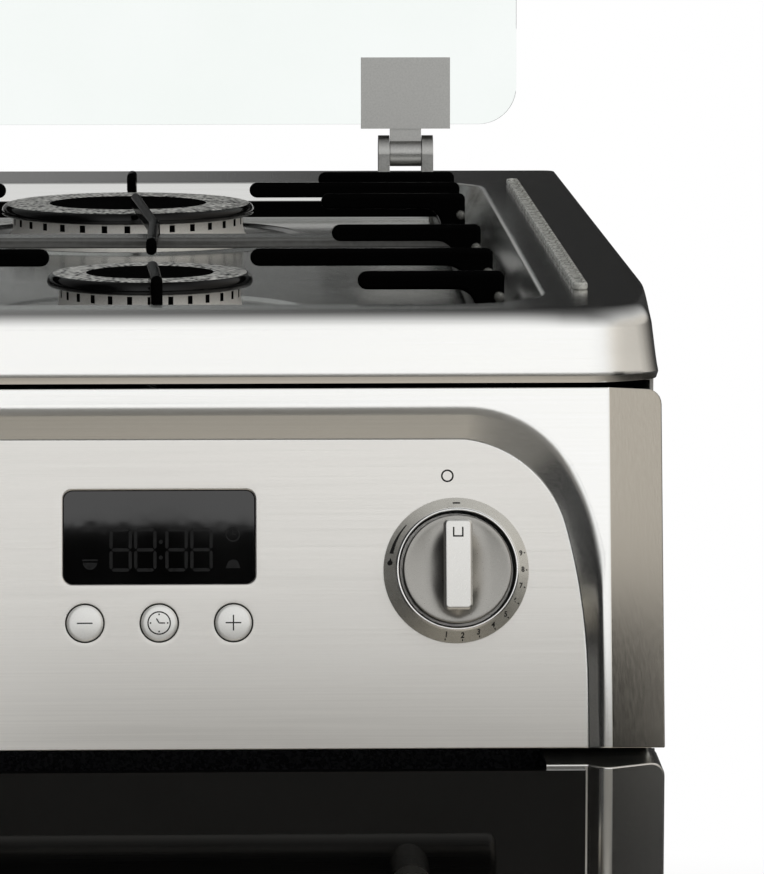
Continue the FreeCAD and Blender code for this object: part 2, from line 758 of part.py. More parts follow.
def make_gas_taps():
    manifold = make_gas_manifold()
    taps = []
    for x in KNOB_X.values():
        body = cylinder(V(x, TAP_FRONT, -KNOB_DROP), Y_AXIS, TAP_R, TAP_LENGTH)
        saddle = box(
            x - SADDLE_HALF,
            x + SADDLE_HALF,
            MANIFOLD_DEPTH - SADDLE_HALF,
            MANIFOLD_DEPTH + SADDLE_HALF,
            -KNOB_DROP - TAP_R - MANIFOLD_R,
            -KNOB_DROP,
        )
        outlet = cylinder(
            V(x, TAP_OUTLET_DEPTH, -KNOB_DROP), Z_AXIS, TAP_OUTLET_R, TAP_R + TAP_OUTLET
        )
        bore = cylinder(V(x, 0, -KNOB_DROP), Y_AXIS, SPINDLE_R + RUNNING_FIT, TAP_FRONT + TAP_BORE)
        taps.append(on_panel(joined([body, saddle, outlet]).cut(bore)).cut(manifold))
    return group(taps)


def outlet_rise(x, level):
    """The tap outlet's mouth, and the point above it where its pipe turns level."""
    foot = panel_point(x, TAP_OUTLET_DEPTH, -KNOB_DROP + TAP_R + TAP_OUTLET)
    up = panel_point(0, 0, 1) - panel_point(0, 0, 0)
    return foot, foot + up * ((level - foot.z) / up.z)


def hob_pipe(name):
    x, y, _ = BURNERS[name]
    drop = FRONT_PIPE_LEVEL if name.startswith("front") else REAR_PIPE_LEVEL
    level = WELL_FLOOR - drop
    foot, rise = outlet_rise(KNOB_X["knob_" + name], level)
    return bent_tube([foot, rise, V(x, y, level), V(x, y, NIPPLE_Z)], PIPE_BEND, PIPE_R)


def oven_pipe(knob, lane_x, lane_y, rear_y, feed_z):
    """From a tap to the side of the case, back along it, down and forward to the burner feed."""
    level = WELL_FLOOR - FRONT_PIPE_LEVEL
    foot, rise = outlet_rise(KNOB_X[knob], level)
    end_y = CAVITY_REAR_Y - FEED_END_GAP
    points = [
        foot,
        rise,
        V(lane_x, lane_y, level),
        V(lane_x, rear_y, level),
        V(lane_x, rear_y, feed_z),
        V(BURNER_FEED_X, rear_y, feed_z),
        V(BURNER_FEED_X, end_y, feed_z),
    ]
    return bent_tube(points, PIPE_BEND, PIPE_R)


def make_burner_pipes():
    outside = CAVITY_HALF + INSULATION + 2 * PIPE_HOLE_R
    behind = CAVITY_REAR_Y + INSULATION + 2 * PIPE_HOLE_R
    pipes = [hob_pipe(name) for name in BURNERS]
    pipes.append(
        oven_pipe(
            "knob_main_oven",
            outside + MAIN_LANE_OUT,
            Y_HOB + MAIN_LANE_BACK,
            behind,
            OVEN_FEED_Z,
        )
    )
    pipes.append(
        oven_pipe(
            "knob_top_oven_grill",
            outside + GRILL_LANE_OUT,
            Y_HOB + GRILL_LANE_BACK,
            behind + GRILL_LANE_BEHIND,
            GRILL_FEED_Z,
        )
    )
    return group(pipes)


def make_gas_inlet():
    start_x, _ = manifold_span()
    start = panel_point(start_x, MANIFOLD_DEPTH, -KNOB_DROP - TAP_R - MANIFOLD_R)
    nut_y = REAR_PANEL_Y - INLET_NUT_LENGTH
    corner = V(SUPPLY_X, start.y, start.z)
    end = V(SUPPLY_X, nut_y, start.z)
    pipe = bent_tube([start, corner, end], SUPPLY_BEND, SUPPLY_R)
    nut = cylinder(end, Y_AXIS, INLET_NUT_R, INLET_NUT_LENGTH)
    neck = cylinder(V(end.x, REAR_PANEL_Y, end.z), Y_AXIS, INLET_NECK_R, SHEET)
    thread = cylinder(V(end.x, REAR_PANEL_BACK, end.z), Y_AXIS, INLET_THREAD_R, REAR_GAP)
    return joined([pipe, nut, neck, thread])


# Case.
def foot_places():
    x = CASE_HALF - FOOT_INSET
    front, rear = FRAME_BACK + FOOT_INSET, REAR_PANEL_Y - FOOT_INSET
    return [(-x, front), (-x, rear), (x, front), (x, rear)]


def make_base_tray():
    side = CASE_HALF - SHEET
    outer = box(-side, side, FRAME_BACK, REAR_PANEL_Y, CASE_BOTTOM, CASE_BOTTOM + TRAY_WALL)
    inner = box(
        -side + SHEET,
        side - SHEET,
        FRAME_BACK + SHEET,
        REAR_PANEL_Y - SHEET,
        CASE_BOTTOM + SHEET,
        CASE_BOTTOM + 2 * TRAY_WALL,
    )
    hole_r = FOOT_STEM_R + LOOSE_FIT
    holes = [cylinder(V(x, y, 0), Z_AXIS, hole_r, 2 * CASE_BOTTOM) for x, y in foot_places()]
    return outer.cut(inner).cut(holes)


def make_levelling_feet():
    collar = FOOT_STEM_R * 2
    feet = []
    for x, y in foot_places():
        foot = turned(
            [
                (0, 0),
                (FOOT_R, 0),
                (FOOT_R, FOOT_HEIGHT / 2),
                (collar, FOOT_HEIGHT),
                (collar, CASE_BOTTOM),
                (FOOT_STEM_R, CASE_BOTTOM),
                (FOOT_STEM_R, CASE_BOTTOM + FOOT_STEM_ABOVE),
                (0, CASE_BOTTOM + FOOT_STEM_ABOVE),
            ]
        )
        foot.translate(V(x, y, 0))
        feet.append(foot)
    return group(feet)


def make_plinth():
    shell = front_shell(0, FRAME_Y - Y_FACE - PLINTH_SETBACK, PLINTH_BOTTOM, PLINTH_TOP)
    shell.translate(V(0, Y_FACE + PLINTH_SETBACK, 0))
    return shell


def make_side_panel():
    """The right-hand side panel: a sheet folded inwards at its front, rear and top edges."""
    outer = box(CASE_HALF - CASE_FLANGE, CASE_HALF, FRAME_BACK, REAR_PANEL_Y, CASE_BOTTOM, HOB_LIP)
    inner = box(
        0, CASE_HALF - SHEET, FRAME_BACK + SHEET, REAR_PANEL_Y - SHEET, 0, HOB_LIP - SHEET
    )
    tray = box(0, CASE_HALF - SHEET, FRAME_BACK, REAR_PANEL_Y, 0, CASE_BOTTOM + TRAY_WALL)
    mouth = box(
        0, CASE_HALF - SHEET, FRAME_BACK - SHEET, FRAME_BACK + 2 * SHEET, TOP_DOOR_TOP, HOB_LIP - SHEET
    )
    cheek = on_panel(
        box(
            CASE_HALF - SHEET,
            CASE_HALF,
            CHEEK_FRONT,
            2 * PANEL_RETURN,
            -PANEL_HEIGHT + CHEEK_END_GAP,
            -CHEEK_END_GAP,
        )
    )
    return joined([outer.cut([inner, tray, mouth]), cheek]).cut(screw_shanks())


def screw_places():
    x = CASE_HALF - CASE_FLANGE / 2
    low = CASE_BOTTOM + TRAY_WALL + SCREW_END_GAP
    high = HOB_LIP - SCREW_END_GAP
    step = (high - low) / (SCREWS_PER_SIDE - 1)
    return [(side * x, low + i * step) for side in (-1, 1) for i in range(SCREWS_PER_SIDE)]


def screw_shanks():
    start = REAR_PANEL_BACK - SCREW_LENGTH
    length = SCREW_LENGTH + SCREW_HEAD / 2
    return [cylinder(V(x, start, z), Y_AXIS, SCREW_R, length) for x, z in screw_places()]


def make_rear_panel():
    sheet = box(-CASE_HALF, CASE_HALF, REAR_PANEL_Y, REAR_PANEL_BACK, CASE_BOTTOM, HOB_LIP)
    cuts = screw_shanks()
    start = panel_point(SUPPLY_X, MANIFOLD_DEPTH, -KNOB_DROP - TAP_R - MANIFOLD_R)
    cuts.append(cylinder(V(SUPPLY_X, REAR_PANEL_Y - SHEET, start.z), Y_AXIS, INLET_NECK_R, 3 * SHEET))
    for i in range(VENT_ROWS):
        z = HOB_LIP - VENT_TOP - i * VENT_PITCH
        cuts.append(
            box(
                -VENT_LENGTH / 2,
                VENT_LENGTH / 2,
                REAR_PANEL_Y - SHEET,
                REAR_PANEL_BACK + SHEET,
                z,
                z + VENT_WIDTH,
            )
        )
    return sheet.cut(cuts)


def make_rear_panel_screws():
    screws = []
    for (x, z), shank in zip(screw_places(), screw_shanks()):
        head = cylinder(V(x, REAR_PANEL_BACK, z), Y_AXIS, SCREW_HEAD_R, SCREW_HEAD)
        screws.append(joined([head, shank]))
    return group(screws)


def make_front_frame():
    frame = box(-CASE_HALF, CASE_HALF, FRAME_Y, FRAME_BACK, CASE_BOTTOM, TOP_DOOR_TOP)
    cuts = [
        box(-CAVITY_HALF, CAVITY_HALF, FRAME_Y - SHEET, FRAME_BACK + SHEET, z0, z1)
        for z0, z1 in CAVITIES.values()
    ]
    return frame.cut(cuts)


# Ovens.
def make_liner(name):
    z0, z1 = CAVITIES[name]
    outer = box(
        -CAVITY_HALF - SHEET,
        CAVITY_HALF + SHEET,
        FRAME_BACK,
        CAVITY_REAR_Y + SHEET,
        z0 - SHEET,
        z1 + SHEET,
    )
    flange = box(
        -CAVITY_HALF - LINER_FLANGE,
        CAVITY_HALF + LINER_FLANGE,
        FRAME_BACK,
        FRAME_BACK + SHEET,
        z0 - LINER_FLANGE,
        z1 + LINER_FLANGE,
    )
    inside = box(-CAVITY_HALF, CAVITY_HALF, FRAME_BACK - SHEET, CAVITY_REAR_Y, z0, z1)
    return joined([outer, flange]).cut([inside, flue_hole(name, 0), feed_hole(name)])


def flue_hole(name, grow):
    z1 = CAVITIES[name][1] - FLUE_BELOW_ROOF
    return box(
        -FLUE_HALF - grow,
        FLUE_HALF + grow,
        CAVITY_REAR_Y - SHEET,
        DUCT_FRONT_Y + 2 * SHEET,
        z1 - FLUE_HEIGHT - grow,
        z1 + grow,
    )


def feed_hole(name):
    start = V(BURNER_FEED_X, CAVITY_REAR_Y - SHEET, FEED_Z[name])
    return cylinder(start, Y_AXIS, PIPE_HOLE_R, INSULATION + 3 * SHEET)


def make_oven_insulation():
    blankets = []
    for name, (z0, z1) in CAVITIES.items():
        wrap = box(
            -CAVITY_HALF - SHEET - INSULATION,
            CAVITY_HALF + SHEET + INSULATION,
            FRAME_BACK + SHEET,
            CAVITY_REAR_Y + SHEET + INSULATION,
            z0 - SHEET - INSULATION,
            z1 + SHEET + INSULATION,
        )
        liner = box(
            -CAVITY_HALF - SHEET,
            CAVITY_HALF + SHEET,
            FRAME_BACK,
            CAVITY_REAR_Y + SHEET,
            z0 - SHEET,
            z1 + SHEET,
        )
        blankets.append(wrap.cut([liner, flue_hole(name, SHEET), feed_hole(name)]))
    return group(blankets)


def make_oven_door_seals():
    seals = []
    for z0, z1 in CAVITIES.values():
        height = z1 - z0 + 2 * SEAL_MARGIN
        width = 2 * (CAVITY_HALF + SEAL_MARGIN)
        corner = 2 * SEAL_MARGIN
        inner = rounded_plate(width, height, corner, -SHEET, SEAL_THICKNESS + SHEET)
        outer = rounded_plate(
            width + 2 * SEAL_WIDTH, height + 2 * SEAL_WIDTH, corner + SEAL_WIDTH, 0, SEAL_THICKNESS
        )
        seal = outer.cut(inner)
        seal.rotate(V(0, 0, 0), X_AXIS, 90)
        seal.translate(V(0, FRAME_Y, (z0 + z1) / 2))
        seals.append(seal)
    return group(seals)


def runner_levels():
    main = [CAVITIES["main"][0] + up for up in MAIN_RUNNERS]
    return main + [CAVITIES["top"][0] + up for up in TOP_RUNNERS]


def make_shelf_runners():
    runners = []
    for z in runner_levels():
        rail = box(
            CAVITY_HALF - RUNNER_WIDTH,
            CAVITY_HALF,
            RUNNER_FRONT_Y,
            RUNNER_REAR_Y,
            z - RUNNER_THICKNESS,
            z,
        )
        runners += [rail, mirrored(rail)]
    return group(runners)


def make_shelf(runner_top):
    """A wire shelf: a heavy border with thin wires across it."""
    side = SHELF_HALF - SHELF_WIRE_R
    front = SHELF_FRONT_Y + SHELF_WIRE_R
    rear = SHELF_REAR_Y - SHELF_WIRE_R
    z = runner_top + LOOSE_FIT + SHELF_WIRE_R
    length = rear - front
    border = [cylinder(V(x, front, z), Y_AXIS, SHELF_WIRE_R, length) for x in (-side, side)]
    border += [cylinder(V(-side, y, z), X_AXIS, SHELF_WIRE_R, 2 * side) for y in (front, rear)]
    knuckles = [Part.makeSphere(SHELF_WIRE_R, V(x, y, z)) for x in (-side, side) for y in (front, rear)]
    step = 2 * side / (SHELF_WIRES + 1)
    wires = [
        cylinder(V(-side + (i + 1) * step, front, z), Y_AXIS, SHELF_CROSS_WIRE_R, length)
        for i in range(SHELF_WIRES)
    ]
    return joined(border + knuckles + wires)


def make_grill_pan():
    shelf_top = CAVITIES["top"][0] + TOP_RUNNERS[0] + LOOSE_FIT + SHELF_WIRE_R + SHELF_CROSS_WIRE_R
    z0 = shelf_top + (SHELF_WIRE_R - SHELF_CROSS_WIRE_R)
    outer = box(
        -GRILL_PAN_HALF, GRILL_PAN_HALF, GRILL_PAN_FRONT_Y, GRILL_PAN_REAR_Y, z0, z0 + GRILL_PAN_HEIGHT
    )
    inner = box(
        -GRILL_PAN_HALF + SHEET,
        GRILL_PAN_HALF - SHEET,
        GRILL_PAN_FRONT_Y + SHEET,
        GRILL_PAN_REAR_Y - SHEET,
        z0 + SHEET,
        z0 + 2 * GRILL_PAN_HEIGHT,
    )
    return outer.cut(inner)


def feed_tube(start_y, z):
    length = CAVITY_REAR_Y - FEED_END_GAP - start_y
    return cylinder(V(BURNER_FEED_X, start_y, z), Y_AXIS, FEED_R, length)


def make_grill_burner():
    roof = CAVITIES["top"][1]
    top = roof - GRILL_DROP
    low = top - GRILL_THICKNESS
    plate = box(-GRILL_HALF, GRILL_HALF, GRILL_FRONT_Y, GRILL_REAR_Y, low, top)
    straps = [
        box(-GRILL_HALF, GRILL_HALF, y, y + GRILL_STRAP, top, roof)
        for y in (GRILL_FRONT_Y, GRILL_REAR_Y - GRILL_STRAP)
    ]
    feed = feed_tube(GRILL_REAR_Y, GRILL_FEED_Z)
    slots = []
    step = 2 * GRILL_HALF / GRILL_SLOTS
    for i in range(GRILL_SLOTS):
        x = -GRILL_HALF + (i + 0.5) * step
        slots.append(
            box(
                x - step / 4,
                x + step / 4,
                GRILL_FRONT_Y + GRILL_STRAP,
                GRILL_REAR_Y - GRILL_STRAP,
                low - SHEET,
                low + GRILL_THICKNESS / 3,
            )
        )
    return joined([plate, feed] + straps).cut(slots)


def make_main_oven_burner():
    floor = CAVITIES["main"][0]
    tube = cylinder(
        V(-OVEN_BURNER_HALF, OVEN_BURNER_Y, OVEN_FEED_Z), X_AXIS, OVEN_BURNER_R, 2 * OVEN_BURNER_HALF
    )
    leg_half = OVEN_BURNER_R / 2
    legs = [
        box(
            x - leg_half,
            x + leg_half,
            OVEN_BURNER_Y - leg_half,
            OVEN_BURNER_Y + leg_half,
            floor,
            OVEN_FEED_Z,
        )
        for x in (-BURNER_FEED_X, BURNER_FEED_X)
    ]
    return joined([tube, feed_tube(OVEN_BURNER_Y, OVEN_FEED_Z)] + legs)


def make_flue_duct():
    """A folded channel on the rear panel, with a short spigot to each oven's back wall."""
    low = CAVITIES["main"][1] - FLUE_BELOW_ROOF - FLUE_HEIGHT - DUCT_BELOW
    high = HOB_LIP - DUCT_TOP_GAP
    outer = box(-DUCT_HALF, DUCT_HALF, DUCT_FRONT_Y, REAR_PANEL_Y, low, high)
    inner = box(
        -DUCT_HALF + SHEET,
        DUCT_HALF - SHEET,
        DUCT_FRONT_Y + SHEET,
        REAR_PANEL_Y + SHEET,
        low + SHEET,
        high - SHEET,
    )
    spigots = []
    for name in CAVITIES:
        tube = flue_hole(name, SHEET)
        keep = box(-HALF, HALF, CAVITY_REAR_Y + SHEET, DUCT_FRONT_Y + SHEET, 0, HOB_HEIGHT)
        spigots.append(tube.common(keep))
    passages = [flue_hole(name, 0) for name in CAVITIES]
    return joined([outer.cut(inner)] + spigots).cut(passages)


# Doors.
def door_shell(height, closed_foot):
    """A door skin with its face at y = 0 and its foot at z = 0, with the recess pressed in."""
    shell = front_shell(0, DOOR_DEPTH - LINER_SHEET, 0, height)
    if closed_foot:
        return pressed(shell, height, 0, 1, SHEET)
    boss = straight_recess(SHEET / 2, RECESS_DEPTH + SHEET, SHEET, 0, height)
    pocket = straight_recess(-SHEET, RECESS_DEPTH, 0, -SHEET, height + SHEET)
    return shell.fuse(boss).cut(pocket)


def hinge_slots():
    """Room for the hinge arms to turn in, at the foot of the door's back."""
    half = HINGE_ARM / 2 + HINGE_ARM_GAP
    reach = HINGE_ARM_R + HINGE_ARM_GAP
    low = HINGE_BACK - HINGE_ARM_R
    slot = box(HINGE_X - half, HINGE_X + half, low, DOOR_DEPTH + SHEET, -SHEET, HINGE_UP + reach)
    return [slot, mirrored(slot)]


def window_cut(height, window, grow):
    half = WINDOW_HALF + grow
    middle = height / 2
    return box(
        -half, half, 0, DOOR_DEPTH + SHEET, middle - window / 2 - grow, middle + window / 2 + grow
    )


def door_pane(height, closed_foot):
    """The outer pane, inside the recess and a little below its rim."""
    if closed_foot:
        outline = recess_outline(RECESS_DEPTH, -GLASS_FIT, height - GLASS_FIT, 0, 1)
        return Part.Face(outline).extrude(V(0, -PANE, 0))
    half = HALF - FLOOR["side"] - GLASS_FIT
    front = RECESS_DEPTH - PANE
    return box(-half, half, front, RECESS_DEPTH, GLASS_FIT, height - GLASS_FIT)


def make_door(name, z0, height, window, closed_foot):
    """Every piece of one door, keyed by node name."""
    slots = hinge_slots()
    opening = window_cut(height, window, 0)
    skin = door_shell(height, closed_foot).cut([opening] + slots)
    liner = box(
        -HALF + SHEET, HALF - SHEET, DOOR_DEPTH - LINER_SHEET, DOOR_DEPTH, SHEET, height - SHEET
    ).cut([opening] + slots)
    inner_y = DOOR_DEPTH - LINER_SHEET
    inner = window_cut(height, window, INNER_PANE_LAP).common(
        box(-HALF, HALF, inner_y - PANE, inner_y, 0, height)
    )
    pieces = {
        f"{name}_door_skin": skin,
        f"{name}_door_glass": group([door_pane(height, closed_foot), inner]),
        f"{name}_door_liner": liner,
        f"{name}_door_handle": door_handle(height),
        f"{name}_door_hinge_brackets": hinge_brackets(),
    }
    for shape in pieces.values():
        shape.translate(V(0, Y_FACE, z0))
    return pieces


def door_handle(height):
    z = height - HANDLE_DROP
    centre_y = HANDLE_R - HANDLE_REACH
    bar = cylinder(V(-HANDLE_HALF, centre_y, z), X_AXIS, HANDLE_R, 2 * HANDLE_HALF)
    bar = bar.makeFillet(HANDLE_R / 3, [e for e in bar.Edges if e.BoundBox.XLength < HANDLE_R])
    glass = RECESS_DEPTH - PANE
    posts = []
    for x in (-HANDLE_POST_X, HANDLE_POST_X):
        post = cylinder(V(x, centre_y, z), Y_AXIS, HANDLE_POST_R, glass - centre_y)
        posts.append(post.cut(bar))
    return group([bar] + posts)


def hinge_brackets():
    """Two forks inside the door's foot, bored for the pins on the case's hinge arms."""
    half = HINGE_ARM / 2 + HINGE_ARM_GAP + HINGE_EAR
    gap = HINGE_ARM / 2 + HINGE_ARM_GAP
    front = RECESS_DEPTH + SHEET
    back = front + HINGE_EAR_DEPTH
    block = box(HINGE_X - half, HINGE_X + half, front, back, SHEET, HINGE_BRACKET)
    throat = box(HINGE_X - gap, HINGE_X + gap, 0, DOOR_DEPTH, 0, HINGE_WEB_UP)
    bore_start = V(HINGE_X - 2 * half, HINGE_BACK, HINGE_UP)
    bore = cylinder(bore_start, X_AXIS, HINGE_PIN_R + RUNNING_FIT, 4 * half)
    fork = block.cut([throat, bore])
    return group([fork, mirrored(fork)])


def make_door_hinge_arms():
    """Arms on the front frame that carry the hinge pins of both doors."""
    half = HINGE_ARM / 2
    pin_half = half + HINGE_ARM_GAP + HINGE_EAR
    arms = []
    for z0 in (MAIN_DOOR_Z, TOP_DOOR_Z):
        y = Y_FACE + HINGE_BACK
        z = z0 + HINGE_UP
        plate = box(HINGE_X - half, HINGE_X + half, y, FRAME_Y, z - HINGE_ARM_R, z + HINGE_ARM_R)
        eye = cylinder(V(HINGE_X - half, y, z), X_AXIS, HINGE_ARM_R, HINGE_ARM)
        pin = cylinder(V(HINGE_X - pin_half, y, z), X_AXIS, HINGE_PIN_R, 2 * pin_half)
        arm = joined([plate, eye, pin])
        arms += [arm, mirrored(arm)]
    return group(arms)


# Hob.
def hob_plan(inset):
    return front_plan(inset, Y_HOB, Y_REAR - inset)


def hob_block(inset, z0, z1):
    """The hob's outer form, drafted inwards towards the top."""
    outlines = []
    for z in (z0, z1):
        draw = inset + HOB_DRAFT * (z - HOB_LIP) / HOB_SKIRT
        points = [V(x, y, z) for x, y in hob_plan(draw)]
        outlines.append(Part.makePolygon(points + points[:1]))
    return Part.makeLoft(outlines, True, True)


def hob_well(grow, z0, z1):
    outlines = []
    for z in (z0, z1):
        draw = WELL_TAPER * (HOB_HEIGHT - z) / WELL_DEPTH - grow
        outlines.append(
            rounded_outline(
                HALF - WELL_SIDE - draw,
                Y_HOB + WELL_FRONT + draw,
                Y_REAR - WELL_REAR - draw,
                WELL_CORNER - draw,
                z,
            )
        )
    return Part.makeLoft(outlines, True, True)


def cup_inner_r(crown_r):
    return crown_r - CROWN_WALL


def make_hob_top():
    block = hob_block(0, HOB_LIP, HOB_HEIGHT)
    rim = [e for e in block.Edges if e.BoundBox.ZMin > HOB_HEIGHT - LOOSE_FIT]
    block = block.makeFillet(HOB_EDGE, rim)
    hollow = hob_block(HOB_SHEET, HOB_LIP - HOB_SHEET, HOB_HEIGHT - HOB_SHEET)
    hollow_rim = [e for e in hollow.Edges if e.BoundBox.ZMin > HOB_HEIGHT - HOB_SHEET - LOOSE_FIT]
    hollow = hollow.makeFillet(HOB_EDGE - HOB_SHEET, hollow_rim)
    dish = hob_well(HOB_SHEET, FLOOR_UNDER, HOB_HEIGHT)
    well = hob_well(0, WELL_FLOOR, HOB_HEIGHT + HOB_SHEET)
    flange = plan_prism(hob_plan(HOB_SHEET / 2), HOB_LIP, HOB_LIP + HOB_SHEET).cut(
        plan_prism(hob_plan(HOB_FLANGE), HOB_LIP - HOB_SHEET, HOB_LIP + 2 * HOB_SHEET)
    )
    top = block.cut(hollow.cut(dish)).cut(well).fuse(flange).removeSplitter()
    crest = [
        e
        for e in top.Edges
        if abs(e.BoundBox.ZMin - HOB_HEIGHT) < LOOSE_FIT
        and abs(e.BoundBox.ZMax - HOB_HEIGHT) < LOOSE_FIT
        and e.BoundBox.XMax < HALF - WELL_SIDE + LOOSE_FIT
        and e.BoundBox.XMin > WELL_SIDE - HALF - LOOSE_FIT
        and e.BoundBox.YMin > Y_HOB + WELL_FRONT - LOOSE_FIT
        and e.BoundBox.YMax < Y_REAR - WELL_REAR + LOOSE_FIT
    ]
    top = top.makeFillet(WELL_EDGE, crest)
    holes = []
    for x, y, (_, crown_r, _) in BURNERS.values():
        holes.append(cylinder(V(x, y, HOB_LIP), Z_AXIS, cup_inner_r(crown_r), HOB_SKIRT))
        ex, ey = electrode_place(x, y, crown_r)
        holes.append(cylinder(V(ex, ey, HOB_LIP), Z_AXIS, ELECTRODE_R, HOB_SKIRT))
    return top.cut(holes)


def electrode_place(x, y, crown_r):
    angle = math.radians(ELECTRODE_ANGLE)
    reach = crown_r + CROWN_FLARE + ELECTRODE_R + ELECTRODE_GAP
    return x + reach * math.cos(angle), y + reach * math.sin(angle)


def make_burner_cups():
    cups = []
    for x, y, (_, crown_r, _) in BURNERS.values():
        inner = cup_inner_r(crown_r)
        outer = inner + CUP_WALL
        bottom = FLOOR_UNDER - CUP_DEPTH
        cup = turned(
            [
                (0, NIPPLE_Z),
                (NIPPLE_R, NIPPLE_Z),
                (NIPPLE_R, bottom),
                (outer, bottom),
                (outer, FLOOR_UNDER),
                (inner, FLOOR_UNDER),
                (inner, bottom + CUP_WALL),
                (0, bottom + CUP_WALL),
            ]
        )
        cup.translate(V(x, y, 0))
        cups.append(cup)
    return group(cups)


def make_crown(crown_r, slots):
    spigot = cup_inner_r(crown_r) - RUNNING_FIT
    bore = spigot - CUP_WALL
    foot = WELL_FLOOR - CUP_DEPTH / 2
    crown = turned(
        [
            (bore, foot),
            (spigot, foot),
            (spigot, WELL_FLOOR),
            (crown_r + CROWN_FLARE, WELL_FLOOR),
            (crown_r, CROWN_TOP - SLOT_HEIGHT),
            (crown_r, CROWN_TOP),
            (bore, CROWN_TOP),
        ]
    )
    slot = box(
        bore - SHEET,
        crown_r + CROWN_FLARE + SHEET,
        -SLOT_WIDTH / 2,
        SLOT_WIDTH / 2,
        CROWN_TOP - SLOT_HEIGHT,
        CROWN_TOP + SHEET,
    )
    cuts = []
    for i in range(slots):
        turned_slot = slot.copy()
        turned_slot.rotate(V(0, 0, 0), Z_AXIS, 360.0 * i / slots)
        cuts.append(turned_slot)
    return crown.cut(cuts)


def make_burner_crowns():
    crowns = []
    for x, y, (_, crown_r, slots) in BURNERS.values():
        crown = make_crown(crown_r, slots)
        crown.translate(V(x, y, 0))
        crowns.append(crown)
    return group(crowns)


def make_burner_caps():
    caps = []
    for x, y, (cap_r, crown_r, _) in BURNERS.values():
        z0 = CROWN_TOP
        z1 = CROWN_TOP + CAP_THICKNESS
        dish_r = cap_r * CAP_DISH_SHARE
        key = cup_inner_r(crown_r) - CUP_WALL - LOOSE_FIT
        cap = turned(
            [
                (0, z0),
                (cap_r, z0),
                (cap_r, z1),
                (dish_r, z1),
                (dish_r - CAP_DISH, z1 - CAP_DISH),
                (0, z1 - CAP_DISH),
            ]
        )
        level = [e for e in cap.Edges if e.BoundBox.ZLength < LOOSE_FIT]
        cap = cap.makeFillet(CAP_EDGE, [e for e in level if e.BoundBox.XMax > cap_r - LOOSE_FIT])
        boss = cylinder(V(0, 0, z0 - SLOT_HEIGHT), Z_AXIS, key, SLOT_HEIGHT)
        cap = joined([cap, boss])
        cap.translate(V(x, y, 0))
        caps.append(cap)
    return group(caps)


def make_burner_electrodes():
    electrodes = []
    for x, y, (_, crown_r, _) in BURNERS.values():
        ex, ey = electrode_place(x, y, crown_r)
        foot = FLOOR_UNDER - CUP_DEPTH
        neck = CROWN_TOP - 2 * SLOT_HEIGHT
        pin = turned(
            [
                (0, foot),
                (ELECTRODE_R, foot),
                (ELECTRODE_R, neck),
                (ELECTRODE_TIP_R, neck + ELECTRODE_R),
                (ELECTRODE_TIP_R, CROWN_TOP - LOOSE_FIT),
                (0, CROWN_TOP - LOOSE_FIT),
            ]
        )
        pin.translate(V(ex, ey, 0))
        electrodes.append(pin)
    return group(electrodes)


def finger(outer_x, tip_x, y):
    """A bar across the hob with a round tip over the burner and a leg down to the rail."""
    half = FINGER_WIDTH / 2
    way = 1 if outer_x > tip_x else -1
    low, high = sorted((outer_x, tip_x + way * half))
    bar = box(low, high, y - half, y + half, FINGER_Z, FINGER_TOP)
    tip = cylinder(V(tip_x + way * half, y, FINGER_Z), Z_AXIS, half, FINGER_HEIGHT)
    foot_low, foot_high = sorted((outer_x, outer_x - way * LEG_WIDTH))
    leg = box(foot_low, foot_high, y - half, y + half, RAIL_Z, FINGER_TOP)
    return [bar, tip, leg]


def depth_finger(x0, y0, x1, y1):
    """A bar that runs from a rail at (x0, y0) in towards a burner, ending in a round tip."""
    half = FINGER_WIDTH / 2
    length = math.hypot(x1 - x0, y1 - y0)
    bar = box(-half, half, 0, length, FINGER_Z, FINGER_TOP)
    tip = cylinder(V(0, length, FINGER_Z), Z_AXIS, half, FINGER_HEIGHT)
    leg = box(-half, half, -half, half, RAIL_Z, FINGER_TOP)
    pieces = [bar, tip, leg]
    for piece in pieces:
        piece.rotate(V(0, 0, 0), Z_AXIS, math.degrees(math.atan2(x0 - x1, y1 - y0)))
        piece.translate(V(x0, y0, 0))
    return pieces


def finger_lines():
    """Places along the depth of the right-hand support, with the reach of the finger tips there."""
    return [
        (FRONT_BURNER_Y - FINGER_BEFORE_FRONT, TIP_BEFORE_FRONT),
        (FRONT_BURNER_Y, TIP_AT_FRONT),
        (FRONT_BURNER_Y + FINGER_AFTER_FRONT, TIP_AFTER_FRONT),
        (REAR_BURNER_Y - FINGER_BESIDE_REAR, TIP_BESIDE_REAR),
        (REAR_BURNER_Y, TIP_AT_REAR),
        (REAR_BURNER_Y + FINGER_BESIDE_REAR, TIP_BESIDE_REAR),
    ]


def support_rails():
    """Middles of the right-hand pan support's inner and outer rails."""
    half = RAIL_WIDTH / 2
    return SUPPORT_INNER_X + LEG_WIDTH - half, SUPPORT_OUTER_X - LEG_WIDTH + half


